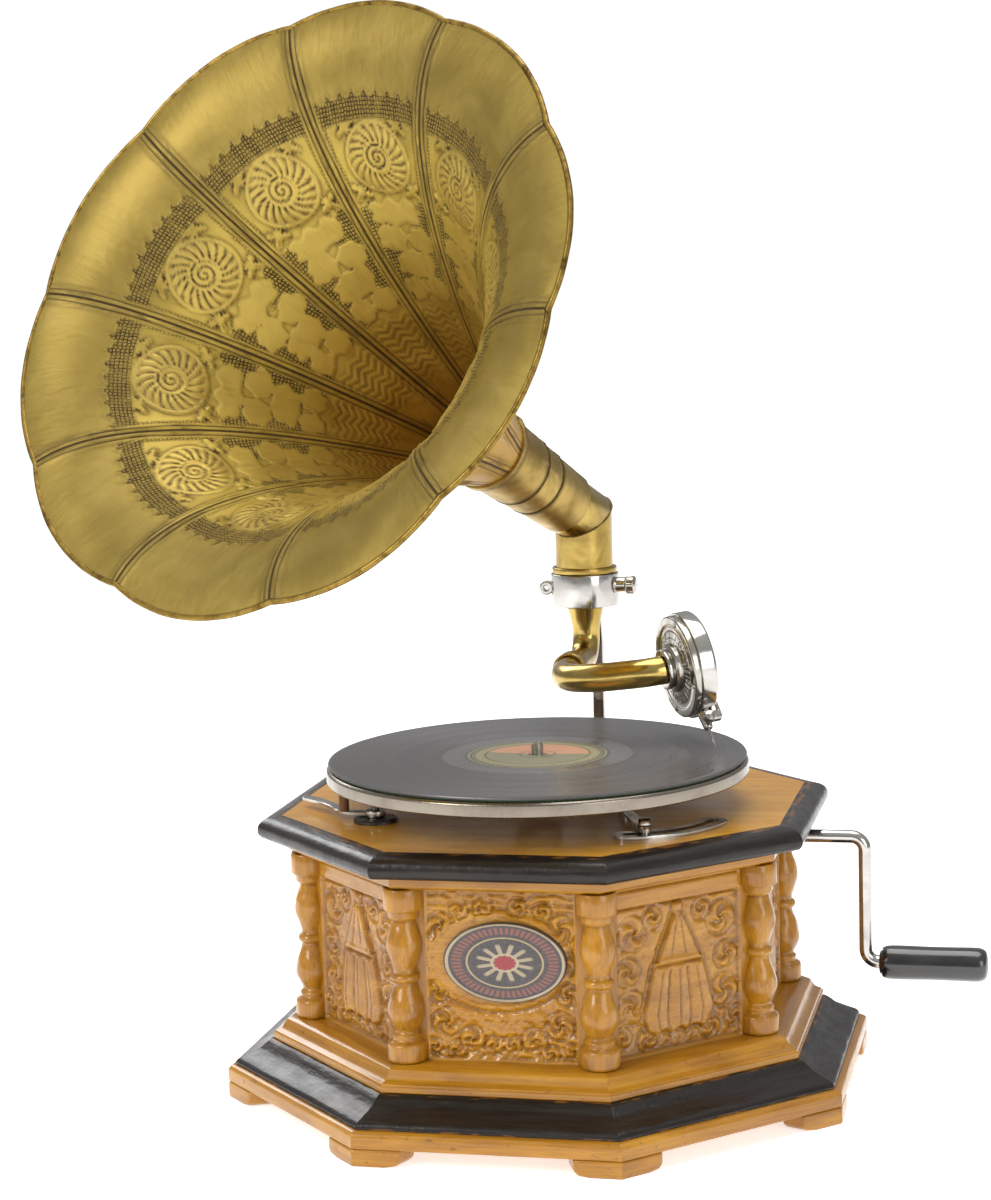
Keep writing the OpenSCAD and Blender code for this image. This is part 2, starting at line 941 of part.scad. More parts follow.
module speed_lever() {
    bar_z = lid_top + 3.4;
    tip_r = 62;
    color("dimgray")
        translate([speed_x, speed_y, 0]) {
            translate([0, 0, 126])
                cylinder(r = 3, h = bar_z + 2.5 - 126);
            rotate(pointer_turn) {
                translate([0, 0, bar_z])
                    linear_extrude(2.5)
                        polygon([[-5, -4], [-5, 4], [tip_r, 3], [tip_r, -3]]);
                translate([slot_r, 0, lid_top + 0.6])
                    cylinder(r = 2.4, h = 3);
                translate([slot_r - 1, 0, bar_z + 2.5])
                    cylinder(r1 = 4.5, r2 = 3.5, h = 5);
            }
        }
}

module friction_arm() {
    arm_turn = 219.3;
    reach = 14.2;
    color("silver")
        translate([speed_x, speed_y, 126])
            difference() {
                union() {
                    cylinder(r = 6, h = 5);
                    rotate(arm_turn)
                        translate([0, -2, 0])
                            cube([reach - 1, 4, 4]);
                    translate([-11, -11.5, -4.5])
                        cube([2.6, 5, 8.5]);
                }
                translate([0, 0, -cut])
                    cylinder(r = 3, h = 8);
            }
}

// Crank

module crank_rod() {
    pin_len = grip_len - 6;
    color("silver")
        translate([crank_inner, crank_y, crank_z])
            rotate([-90, 0, 0]) {
                run_bar(crank_reach - crank_bend - crank_inner, rod_r)
                    bend_bar(crank_bend, 90, rod_r)
                        run_bar(crank_arm - 2 * crank_bend, rod_r)
                            mirror([0, 1, 0])
                                bend_bar(crank_bend, 90, rod_r)
                                    run_bar(pin_len, 3.4);
            }
}

module crank_grip() {
    bore_len = grip_len - 5;
    color("black")
        translate([grip_x, crank_y, grip_z])
            rotate([0, 90, 0])
                difference() {
                    turned([[0, 0], [7, 0], [9.4, 2], [grip_r, 6], [grip_r, grip_len - 7],
                        [grip_r - 1.2, grip_len - 3], [grip_r - 4, grip_len - 0.6], [0, grip_len]]);
                    translate([0, 0, -cut])
                        cylinder(r = 3.4 + run, h = bore_len + cut);
                }
}

module winding_pinion() {
    color("silver")
        translate([barrel_x + winding_r - 2.5, crank_y, crank_z])
            rotate([0, 90, 0])
                rotate(180 / pinion_teeth)
                    gear(pinion_teeth, winding_mod, 5, rod_r);
}

// Motor

module plate_blank(z) {
    translate([0, 0, z])
        linear_extrude(plate_t)
            polygon(plate_outline);
}

module bedplate() {
    color("slategray")
        difference() {
            union() {
                plate_blank(bed_z);
                for (p = screw_spots)
                    translate([p[0], p[1], bed_z])
                        cylinder(r = lug_r, h = lid_z - bed_z);
                translate([0, crank_y - 8, crank_z - 8])
                    cube([8, 16, bed_z - crank_z + 9]);
                translate([-16, governor_y - 4, governor_z - 5])
                    cube([3, 8, bed_z - governor_z + 6]);
            }
            at_spindle(bed_z - cut)
                cylinder(r = 4 + run, h = 2 * plate_t);
            translate([barrel_x, barrel_y, bed_z - cut])
                cylinder(r = arbor_r + run, h = 2 * plate_t);
            translate([middle_x, middle_y, bed_z - cut])
                cylinder(r = 2 + run, h = 2 * plate_t);
            translate([speed_x, speed_y, bed_z - cut])
                cylinder(r = 3 + run, h = 2 * plate_t);
            for (p = screw_spots)
                translate([p[0], p[1], bed_z - cut])
                    cylinder(r = 2, h = 4 * plate_t);
            translate([barrel_x + winding_r - 5, crank_y - 9, bed_z - cut])
                cube([10, 18, 2 * plate_t]);
            translate([-cut, crank_y, crank_z])
                rotate([0, 90, 0])
                    cylinder(r = rod_r + run, h = 10);
            along_governor(-20)
                cylinder(r = 2 + run, h = 10);
        }
}

module lower_plate() {
    color("slategray")
        difference() {
            union() {
                plate_blank(floor_z);
                translate([48, governor_y - 4, floor_z])
                    cube([3, 8, governor_z - floor_z + 4.5]);
            }
            at_spindle(floor_z - cut)
                cylinder(r = 2.5 + run, h = 2 * plate_t);
            translate([barrel_x, barrel_y, floor_z - cut])
                cylinder(r = arbor_r + run, h = 2 * plate_t);
            translate([middle_x, middle_y, floor_z - cut])
                cylinder(r = 2 + run, h = 2 * plate_t);
            along_governor(47)
                cylinder(r = 2 + run, h = 5);
        }
}

module motor_pillars() {
    color("silver")
        for (p = pillar_spots)
            translate([p[0], p[1], floor_z + plate_t])
                cylinder(r = 4.5, h = bed_z - floor_z - plate_t);
}

module motor_screws() {
    color("silver")
        for (p = screw_spots)
            translate([p[0], p[1], 0])
                turned([[0, bed_z - 3], [3, bed_z - 3], [4, bed_z - 2], [4, bed_z], [2, bed_z],
                    [2, lid_z + 6], [0, lid_z + 8]]);
}

module spring_barrel() {
    color("silver")
        translate([barrel_x, barrel_y, 100]) {
            rotate(barrel_angle)
                gear(barrel_teeth, barrel_mod, 4, arbor_r + run);
            turned([[7, 3.5], [drum_r, 3.5], [drum_r, 30], [drum_r - 2, 30],
                [drum_r - 2, 6], [7, 6]]);
        }
}

module barrel_cover() {
    color("silver")
        translate([barrel_x, barrel_y, 128])
            tube(r = drum_r - 2, bore = arbor_r + run, h = 2);
}

// Coiled ribbon spring at rest inside its barrel
module mainspring() {
    turns = 6;
    steps = 20;
    inner = 9;
    outer = 34;
    spiral = [for (i = [0 : turns * steps])
        (inner + (outer - inner) * i / (turns * steps)) * [cos(360 * i / steps), sin(360 * i / steps)]];
    color("steelblue")
        translate([barrel_x, barrel_y, 107])
            linear_extrude(20)
                ribbon(spiral, 1.2);
}

module barrel_arbor() {
    color("lightgray")
        translate([barrel_x, barrel_y, 0])
            turned([[0, floor_z], [arbor_r, floor_z], [arbor_r, 107], [6, 107], [6, 127],
                [arbor_r, 127], [arbor_r, bed_z + plate_t], [0, bed_z + plate_t]]);
}

// Contrate wheel: its teeth stand up under the pinion on the crank rod
module winding_wheel() {
    disc_z = 136;
    root_z = contrate_z - 1.5;
    color("silver")
        translate([barrel_x, barrel_y, 0]) {
            translate([0, 0, disc_z])
                tube(r = winding_r + 2.5, bore = arbor_r, h = root_z - disc_z);
            for (i = [0 : winding_teeth - 1])
                rotate(360 * i / winding_teeth)
                    translate([winding_r - 2.5, 0, root_z - 0.2])
                        rotate([90, 0, 90])
                            linear_extrude(4.9)
                                polygon([[-0.75, 0], [0.75, 0], [0.35, 2.5], [-0.35, 2.5]]);
        }
}

module intermediate_arbor() {
    color("lightgray")
        translate([middle_x, middle_y, 0]) {
            turned([[0, floor_z], [2, floor_z], [2, floor_z + plate_t + 0.3],
                [3, floor_z + plate_t + 0.3], [3, bed_z - 0.3], [2, bed_z - 0.3],
                [2, bed_z + plate_t], [0, bed_z + plate_t]]);
            translate([0, 0, 99.5])
                rotate(barrel_angle + 180 / pinion_teeth)
                    linear_extrude(4.2)
                        gear_outline(pinion_teeth, barrel_mod);
        }
}

module intermediate_wheel() {
    color("goldenrod")
        translate([middle_x, middle_y, 92])
            rotate(spindle_angle + 180 / wheel_teeth)
                gear(wheel_teeth, wheel_mod, 2, 3);
}

// Governor: three-start worm on a shaft with three sprung weights and a friction disc
module governor_shaft() {
    worm_len = 18;
    turns = worm_len / (worm_starts * PI);
    lobe = [for (s = [0 : worm_starts - 1])
        for (p = [[3.8, -52], [3.8, -30], [worm_r, -17], [6, -9], [6, 9], [worm_r, 17], [3.8, 30]])
            p[0] * [cos(360 * s / worm_starts + p[1]), sin(360 * s / worm_starts + p[1])]];
    color("lightgray") {
        along_governor(-worm_len / 2)
            rotate(150 - 180 * turns)
                linear_extrude(worm_len, twist = -360 * turns, slices = 48, $fn = 21)
                    polygon(lobe);
        along_governor(-17)
            cylinder(r = 2, h = 69);
        along_governor(13)
            cylinder(r = 4.6, h = 3);
    }
}

module around_governor() {
    for (k = [0 : 2])
        along_governor(0)
            rotate(120 * k)
                children();
}

module governor_springs() {
    leaf = [[4.9, 13.2], [4.9, 16], [7.2, 20], [9.2, 24], [9.5, 27], [9.2, 30], [7.2, 34],
        [4.9, 38.2], [4.9, 40]];
    color("steelblue")
        around_governor()
            translate([0, 2.5, 0])
                rotate([90, 0, 0])
                    linear_extrude(5)
                        ribbon(leaf, 0.6);
}

module governor_weights() {
    color("gray")
        around_governor()
            translate([9.8, 0, 27])
                rotate([0, 90, 0])
                    cylinder(r = 4, h = 6);
}

module governor_disc() {
    color("goldenrod")
        along_governor(0)
            difference() {
                union() {
                    translate([0, 0, 38])
                        cylinder(r = 4.6, h = 4);
                    translate([0, 0, 41])
                        cylinder(r = 13, h = 3);
                }
                cylinder(r = 2 + run, h = 50);
            }
}

corner_feet();
plinth();
base_moulding();
base_step();
base_board();
front_panel();
crank_panel();
side_panels();
corner_columns();
top_rail();
lid_board();
lid_moulding();
name_badge();
crank_escutcheon();
rear_bracket();
bracket_ring();
bracket_screws();
clamp_screw();
horn_petals();
horn_rim();
horn_neck();
horn_elbow();
tonearm_tube();
gooseneck();
soundbox_back();
soundbox_rim();
soundbox_gasket();
diaphragm();
stylus_bar();
needle();
needle_screw();
platter();
platter_rim();
felt_mat();
record();
record_label();
spindle();
worm_wheel();
brake_plate();
brake_lever();
brake_pad();
speed_plate();
speed_lever();
friction_arm();
crank_rod();
crank_grip();
winding_pinion();
bedplate();
lower_plate();
motor_pillars();
motor_screws();
spring_barrel();
barrel_cover();
mainspring();
barrel_arbor();
winding_wheel();
intermediate_arbor();
intermediate_wheel();
governor_shaft();
governor_weights();
governor_springs();
governor_disc();
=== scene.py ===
"""Looks for the wind-up phonograph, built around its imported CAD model.

Lengths in this file are millimetres in the frame of the CAD part; build() turns them into metres.
"""

import math

import bmesh
import bpy
import numpy as np
from mathutils import Matrix, Vector


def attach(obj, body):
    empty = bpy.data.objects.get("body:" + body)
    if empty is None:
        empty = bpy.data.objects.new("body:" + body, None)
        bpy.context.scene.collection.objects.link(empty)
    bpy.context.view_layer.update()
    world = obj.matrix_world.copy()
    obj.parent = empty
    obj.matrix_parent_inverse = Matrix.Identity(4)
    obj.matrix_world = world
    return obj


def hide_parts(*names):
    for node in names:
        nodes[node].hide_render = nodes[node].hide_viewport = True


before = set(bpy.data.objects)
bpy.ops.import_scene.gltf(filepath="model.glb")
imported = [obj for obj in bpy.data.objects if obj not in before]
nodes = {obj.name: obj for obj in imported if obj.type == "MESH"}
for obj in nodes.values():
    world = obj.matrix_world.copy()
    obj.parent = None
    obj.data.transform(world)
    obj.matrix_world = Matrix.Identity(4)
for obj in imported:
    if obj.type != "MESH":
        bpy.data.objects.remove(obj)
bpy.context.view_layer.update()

MM = 0.001
TAU = 2 * math.pi


def cos(degrees):
    return math.cos(math.radians(degrees))


def sin(degrees):
    return math.sin(math.radians(degrees))


# Heights and radii shared with the CAD part
HALF = 22.5
WALL_R = 146
WALL_Z, WALL_HEIGHT, WALL_THICK = 47, 110, 9
WALL_FACE = WALL_R * cos(HALF)
LID_TOP = 171
BADGE_X, BADGE_Z = 3, 106
CRANK_Y, CRANK_Z = 20, 146.5
CRANK_REACH, CRANK_DROP = 190, 77
BRAKE_X, BRAKE_Y = -88, -73
SPEED_X, SPEED_Y, SPEED_REACH = 55.6, -46.2, 58.1
SPINDLE_Y = -25.6
PIVOT_Y = 130
CLAMP_Z = 285
ARM_Z = 238
HORN_Z = 329.7
HORN_AZIMUTH = 248
HORN_RISE = 26.6
PETALS = 10
FIRST_SEAM = 15.9
THROAT_Z, THROAT_R = 117.35, 24
BELL_LENGTH, BELL_FLARE, SWELL = 214, 154, 5
RIM_R, RIM_Z = 179.55, 330.75
ARM_R, ARM_BORE = 8.75, 7.75
SOUNDBOX_X, SOUNDBOX_Y, SOUNDBOX_TURN = 83.5, 26.6, 31
NEEDLE_TURN = -32.2



def shift(x, y, z):
    """Frame with its origin at a point."""
    return Matrix.Translation((x, y, z))


def turn_about(axis, degrees):
    return Matrix.Rotation(math.radians(degrees), 4, axis)


LEVEL = turn_about("Y", 90)
AT_HORN = shift(0, PIVOT_Y, HORN_Z) @ turn_about("Z", HORN_AZIMUTH) @ turn_about("Y", 90 - HORN_RISE)
AT_GOOSENECK = shift(0, 0, ARM_Z) @ turn_about("Y", -7.8)
AT_SOUNDBOX = AT_GOOSENECK @ shift(SOUNDBOX_X, SOUNDBOX_Y, 0) @ turn_about("Z", SOUNDBOX_TURN) @ LEVEL
AT_NEEDLE = AT_SOUNDBOX @ turn_about("Z", NEEDLE_TURN)
AT_STYLUS = AT_NEEDLE @ shift(0, 0, -1) @ LEVEL
AT_SPINDLE = shift(0, SPINDLE_Y, 0)
AT_CLAMP = shift(0, PIVOT_Y, CLAMP_Z) @ LEVEL
AT_BUSH = shift(0, CRANK_Y, CRANK_Z) @ LEVEL

# ---------------------------------------------------------------- materials


def rgb(text):
    """Linear colour of an sRGB hex code."""
    parts = [int(text[i : i + 2], 16) / 255 for i in (0, 2, 4)]
    return [p / 12.92 if p <= 0.04045 else ((p + 0.055) / 1.055) ** 2.4 for p in parts] + [1.0]


class Paint:
    """A material and its node tree, built step by step around one Principled shader."""

    def __init__(self, name, **settings):
        self.material = bpy.data.materials.new(name)
        self.material.use_nodes = True
        self.tree = self.material.node_tree
        self.shader = self.tree.nodes["Principled BSDF"]
        for key, value in settings.items():
            self.feed(self.shader.inputs[key.replace("_", " ")], value)

    def feed(self, socket, value):
        if isinstance(value, bpy.types.NodeSocket):
            self.tree.links.new(value, socket)
        else:
            socket.default_value = value

    def node(self, kind, inputs, output=0, **settings):
        made = self.tree.nodes.new("ShaderNode" + kind)
        for key, value in settings.items():
            setattr(made, key, value)
        for key, value in inputs.items():
            self.feed(made.inputs[key], value)
        return made.outputs[output]

    def place(self, scale=(1, 1, 1), attribute=None):
        """Coordinates in millimetres: the object's own, or those stored on its mesh."""
        if attribute:
            where = self.node("Attribute", {}, "Vector", attribute_name=attribute)
            factor = 1
        else:
            where = self.node("TexCoord", {}, "Object")
            factor = 1000
        return self.node("Mapping", {"Vector": where, "Scale": [factor * s for s in scale]})

    def mark(self, name, channel=None):
        """A number stored on the mesh, or one channel of a stored vector."""
        if channel is None:
            return self.node("Attribute", {}, "Fac", attribute_name=name)
        vector = self.node("Attribute", {}, "Vector", attribute_name=name)
        return self.node("SeparateXYZ", {"Vector": vector}, channel)

    def noise(self, place, scale=1.0, detail=4.0, rough=0.55, twist=0.0):
        inputs = {"Vector": place, "Scale": scale, "Detail": detail, "Roughness": rough, "Distortion": twist}
        return self.node("TexNoise", inputs, "Fac")

    def cells(self, place, scale=1.0, feature="DISTANCE_TO_EDGE", random=0.8):
        inputs = {"Vector": place, "Scale": scale, "Randomness": random}
        return self.node("TexVoronoi", inputs, "Distance", feature=feature)

    def maths(self, operation, a, b=0.0, clamp=False):
        return self.node("Math", {0: a, 1: b}, operation=operation, use_clamp=clamp)

    def span(self, value, low, high, to_low=0.0, to_high=1.0):
        """Carries a value from one range to another, kept inside it, with soft ends."""
        inputs = {"Value": value, "From Min": low, "From Max": high, "To Min": to_low, "To Max": to_high}
        return self.node("MapRange", inputs, interpolation_type="SMOOTHSTEP")

    def mix(self, factor, a, b, blend="MIX"):
        inputs = {0: factor, 6: a, 7: b}
        return self.node("Mix", inputs, 2, data_type="RGBA", blend_type=blend)

    def ramp(self, value, stops):
        made = self.tree.nodes.new("ShaderNodeValToRGB")
        self.feed(made.inputs[0], value)
        line = made.color_ramp
        while len(line.elements) < len(stops):
            line.elements.new(0.5)
        for element, (position, colour) in zip(line.elements, stops):
            element.position = position
            element.color = colour
        return made.outputs[0]

    def bump(self, height, distance, strength=1.0, normal=None):
        inputs = {"Height": height, "Distance": distance * MM, "Strength": strength}
        if normal is not None:
            inputs["Normal"] = normal
        return self.node("Bump", inputs)

    def finish(self, colour=None, roughness=None, normal=None, metallic=None, coat_normal=None):
        links = {
            "Base Color": colour,
            "Roughness": roughness,
            "Normal": normal,
            "Metallic": metallic,
            "Coat Normal": coat_normal,
        }
        for key, value in links.items():
            if value is not None:
                self.feed(self.shader.inputs[key], value)
        return self.material


def wood(name, dark, middle, light, stained=True, coat=0.65, grain="grain"):
    """Varnished wood: fibres and figure along the stored grain, dark brown in carved hollows, on undersides
    and where parts meet, part stain and part painted shade.
    """
    p = Paint(name, Coat_Weight=coat, Coat_Roughness=0.1, Coat_IOR=1.5, IOR=1.4)
    fibres = p.noise(p.place((0.035, 0.9, 0.9), grain), 1.0, 5.0, 0.62, 0.3)
    figure = p.noise(p.place((0.008, 0.055, 0.055), grain), 1.0, 3.0, 0.5, 1.2)
    patches = p.noise(p.place((0.018, 0.018, 0.018), grain), 1.0, 3.0, 0.6)
    tone = p.maths("ADD", p.maths("MULTIPLY", fibres, 0.42), p.maths("MULTIPLY", figure, 0.58))
    colour = p.ramp(tone, [(0.3, dark), (0.5, middle), (0.72, light)])
    colour = p.mix(p.span(patches, 0.42, 0.72, 0.0, 0.35), colour, dark)
    speck = p.noise(p.place((0.16, 0.3, 0.3), grain), 1.0, 3.0, 0.7)
    colour = p.mix(p.span(speck, 0.62, 0.74, 0.0, 0.6), colour, rgb("4e2e0e"))
    if stained:
        # Part stain, part painted shade: dark brown where the mesh marks hollows, undersides and meeting
        # edges
        hollow = p.mark("stain_and_shade")
        uneven = p.span(p.noise(p.place((0.09, 0.09, 0.09), grain), 1.0, 4.0, 0.65), 0.3, 0.7, 0.35, 1.25)
        stain = p.maths("MULTIPLY", hollow, uneven, True)
        colour = p.mix(p.maths("MULTIPLY", stain, 0.6), colour, rgb("55300d"))
    rough = p.span(patches, 0.3, 0.7, 0.3, 0.46)
    brush = p.noise(p.place((0.03, 0.25, 0.25), grain), 1.0, 3.0, 0.6)
    normal = p.bump(fibres, 0.12, 0.5, p.bump(brush, 0.5, 0.35))
    return p.finish(colour, rough, normal, coat_normal=p.bump(brush, 0.5, 0.22))


def lacquer(name):
    """Brushed black gloss over wood, thin and brown along some edges."""
    p = Paint(name, Coat_Weight=0.5, Coat_Roughness=0.16, Coat_IOR=1.4, IOR=1.3)
    strokes = p.noise(p.place((0.035, 0.5, 0.5), "grain"), 1.0, 4.0, 0.6, 0.4)
    swell = p.noise(p.place((0.05, 0.11, 0.11), "grain"), 1.0, 3.0, 0.55)
    chatter = p.noise(p.place((0.33, 0.05, 0.05), "grain"), 1.0, 3.0, 0.6)
    colour = p.ramp(strokes, [(0.3, rgb("100c0a")), (0.7, rgb("261f1a"))])
    rubbed = p.span(p.noise(p.place((0.08, 0.3, 0.3), "grain")), 0.5, 0.62)
    worn = p.maths("MULTIPLY", p.mark("wear"), rubbed, True)
    colour = p.mix(worn, colour, rgb("6d4415"))
    rough = p.span(swell, 0.3, 0.7, 0.32, 0.5)
    waves = p.maths("ADD", p.maths("MULTIPLY", strokes, 0.45), p.maths("MULTIPLY", chatter, 0.55))
    normal = p.bump(waves, 0.8, 0.4, p.bump(swell, 1.6, 0.35))
    return p.finish(colour, rough, normal, coat_normal=normal)


def metal(name, light, dark, rough_low, rough_high, scratch=0.35, blotch=0.35, size=1.0, dents=0.2):
    """Plated or polished metal: cloudy tarnish, fine rubbing marks and shallow dents."""
    p = Paint(name, Metallic=1.0)
    cloud = p.noise(p.place((0.05 / size, 0.05 / size, 0.05 / size)), 1.0, 5.0, 0.62, 0.6)
    fine = p.noise(p.place((0.7, 0.7, 2.6)), 1.0, 3.0, 0.6, 0.8)
    pits = p.noise(p.place((0.9, 0.9, 0.9)), 1.0, 3.0, 0.7)
    colour = p.mix(p.span(cloud, 0.38, 0.75, 0.0, blotch), light, dark)
    colour = p.mix(p.span(pits, 0.68, 0.8, 0.0, 0.55), colour, dark)
    rough = p.maths(
        "ADD",
        p.span(cloud, 0.3, 0.75, rough_low, rough_high),
        p.maths("MULTIPLY", p.maths("SUBTRACT", fine, 0.5), 0.25 * scratch),
    )
    dent = p.noise(p.place((0.08, 0.08, 0.08)), 1.0, 2.0, 0.5)
    normal = p.bump(fine, 0.02, scratch, p.bump(dent, 1.0, dents))
    return p.finish(colour, rough, normal)


def bell_brass(name):
    """Old embossed brass: dark netted grounds, stained grooves and seams, domes and islands lighter as
    rubbed wear and painted highlight, colour painted lighter toward the deep inside.
    """
    p = Paint(name)
    spot = p.place((1, 1, 1), "petal")
    from_rim = p.mark("petal", "Y")
    from_seam = p.mark("petal", "Z")
    net = p.mark("relief", "X")
    hollow = p.mark("relief", "Y")
    raised = p.mark("relief", "Z")
    cloud = p.noise(p.place((0.022, 0.022, 0.022)), 1.0, 5.0, 0.6, 0.8)
    smear = p.noise(p.node("Mapping", {"Vector": spot, "Scale": (0.11, 0.03, 0.11)}), 1.0, 5.0, 0.65, 1.0)
    fleck = p.noise(p.node("Mapping", {"Vector": spot, "Scale": (0.5, 0.9, 0.5)}), 1.0, 4.0, 0.7, 0.6)
    grit = p.noise(p.place((0.8, 0.8, 0.8)), 1.0, 4.0, 0.7)
    # Painted light: the brass is painted lighter from the lip inward and turns from olive yellow to amber
    # deep inside
    depth = p.span(from_rim, 130.0, 250.0)
    shallow = p.ramp(cloud, [(0.3, rgb("836f30")), (0.55, rgb("907b38")), (0.8, rgb("a18b49"))])
    middle = p.ramp(cloud, [(0.3, rgb("ab9240")), (0.6, rgb("c2a84f")), (0.8, rgb("d0b862"))])
    inner = p.ramp(cloud, [(0.3, rgb("a07a28")), (0.6, rgb("be9438")), (0.8, rgb("cfa748"))])
    colour = p.mix(depth, p.mix(p.span(from_rim, 34.0, 92.0), shallow, middle), inner)
    colour = p.mix(p.span(smear, 0.5, 0.8, 0.0, 0.55), colour, rgb("7d6122"))
    colour = p.mix(p.span(fleck, 0.64, 0.76, 0.0, 0.5), colour, rgb("5b4016"))
    # Domes and smooth islands painted lighter: rubbed wear and a painted highlight
    colour = p.mix(p.maths("MULTIPLY", raised, 0.4, True), colour, rgb("dcc06e"))
    # Netted ground: round studs standing out of a dark bed
    warp = p.node("Mapping", {"Vector": spot, "Scale": (0.5, 0.42, 0.0)})
    studs = p.cells(warp, 1.0, "DISTANCE_TO_EDGE", 0.35)
    bed = p.maths("SUBTRACT", 1.0, p.span(studs, 0.06, 0.22), True)
    broken = p.span(smear, 0.3, 0.6, 0.6, 1.0)
    between = p.maths("ADD", p.maths("MULTIPLY", bed, 0.7), 0.3)
    dark = p.maths("MULTIPLY", p.maths("MULTIPLY", net, broken), between)
    # Grooves and the folded seams hold dark stain
    from_joint = p.maths("ABSOLUTE", p.maths("SUBTRACT", from_seam, 0.3))
    from_groove = p.maths("ABSOLUTE", p.maths("SUBTRACT", from_seam, 3.4))
    joint = p.maths("SUBTRACT", 1.0, p.span(from_joint, 0.25, 0.8), True)
    groove = p.maths("SUBTRACT", 1.0, p.span(from_groove, 0.15, 0.75), True)
    both = p.maths("MAXIMUM", joint, p.maths("MULTIPLY", groove, 0.75))
    lines = p.maths("MULTIPLY", both, p.span(fleck, 0.25, 0.5, 0.6, 0.95))
    halo = p.maths("MULTIPLY", p.span(from_seam, 9.0, 3.0), p.span(smear, 0.4, 0.7, 0.05, 0.5))
    stain = p.maths("MULTIPLY", hollow, p.span(smear, 0.3, 0.6, 0.45, 1.1), True)
    dark = p.maths("MAXIMUM", p.maths("MAXIMUM", dark, stain), p.maths("MAXIMUM", lines, halo))
    colour = p.mix(dark, colour, rgb("38260e"))
    shine = p.span(dark, 0.1, 0.8, 0.68, 0.5)
    rough = p.maths("ADD", p.span(cloud, 0.3, 0.75, 0.43, 0.54), p.maths("MULTIPLY", dark, 0.3))
    height = p.maths("MULTIPLY", p.span(studs, 0.0, 0.35), net)
    strokes = p.node("Mapping", {"Vector": spot, "Scale": (0.35, 0.06, 0.0)})
    hammer = p.noise(strokes, 1.0, 3.0, 0.6)
    normal = p.bump(hammer, 0.35, 0.5, p.bump(height, 0.45, 0.8, p.bump(grit, 0.05, 0.6)))
    return p.finish(colour, rough, normal, shine)


def plain_brass(name, light, dark, rough_low, rough_high, marks=True):
    """Drawn brass tube or cone, with stained joint lines where the mesh says so."""
    p = Paint(name, Metallic=1.0)
    cloud = p.noise(p.place((0.03, 0.03, 0.03)), 1.0, 5.0, 0.62, 0.8)
    streak = p.noise(p.place((0.5, 0.5, 0.5)), 1.0, 4.0, 0.7, 0.4)
    colour = p.mix(p.span(cloud, 0.35, 0.75), light, dark)
    colour = p.mix(p.span(streak, 0.62, 0.8, 0.0, 0.5), colour, rgb("5b4016"))
    rough = p.span(cloud, 0.3, 0.75, rough_low, rough_high)
    if marks:
        stain = p.maths("MULTIPLY", p.mark("stain_and_shade"), p.span(streak, 0.25, 0.55, 0.65, 1.0), True)
        colour = p.mix(stain, colour, rgb("36240d"))
        rough = p.maths("ADD", rough, p.maths("MULTIPLY", stain, 0.25))
    dent = p.noise(p.place((0.06, 0.06, 0.06)), 1.0, 2.0, 0.5)
    normal = p.bump(streak, 0.03, 0.5, p.bump(dent, 1.2, 0.2))
    return p.finish(colour, rough, normal)


def make_record():
    """Pressed shellac: fine grooves, faint bands between the tracks and a smooth run-out."""
    p = Paint("shellac", Anisotropic=0.75, IOR=1.6, Coat_Weight=0.25, Coat_Roughness=0.2)
    reach = p.mark("reach")
    sweep = p.node("CombineXYZ", {0: reach, 1: 0.0, 2: 0.0})
    groove = p.noise(p.node("Mapping", {"Vector": sweep, "Scale": (1.3, 1, 1)}), 1.0, 6.0, 0.8)
    band = p.noise(p.node("Mapping", {"Vector": sweep, "Scale": (0.13, 1, 1)}), 1.0, 3.0, 0.6)
    dust = p.noise(p.place((0.45, 0.45, 0.45)), 1.0, 4.0, 0.75)
    colour = p.ramp(band, [(0.3, rgb("413e3f")), (0.7, rgb("5e5a5a"))])
    # The smooth run-out is painted lighter: a painted sheen, besides its lower roughness
    smooth = p.maths("MULTIPLY", p.span(reach, 58.0, 56.0), p.span(reach, 43.0, 44.0))
    colour = p.mix(p.maths("MULTIPLY", smooth, 0.4), colour, rgb("827d7a"))
    colour = p.mix(p.span(dust, 0.62, 0.85, 0.0, 0.3), colour, rgb("7c7874"))
    rough = p.maths("ADD", p.span(band, 0.3, 0.7, 0.24, 0.36), p.maths("MULTIPLY", smooth, -0.08))
    normal = p.bump(groove, 0.05, 0.5)
    tangent = p.node("Tangent", {}, direction_type="RADIAL", axis="Z")
    p.feed(p.shader.inputs["Tangent"], tangent)
    return p.finish(colour, rough, normal)


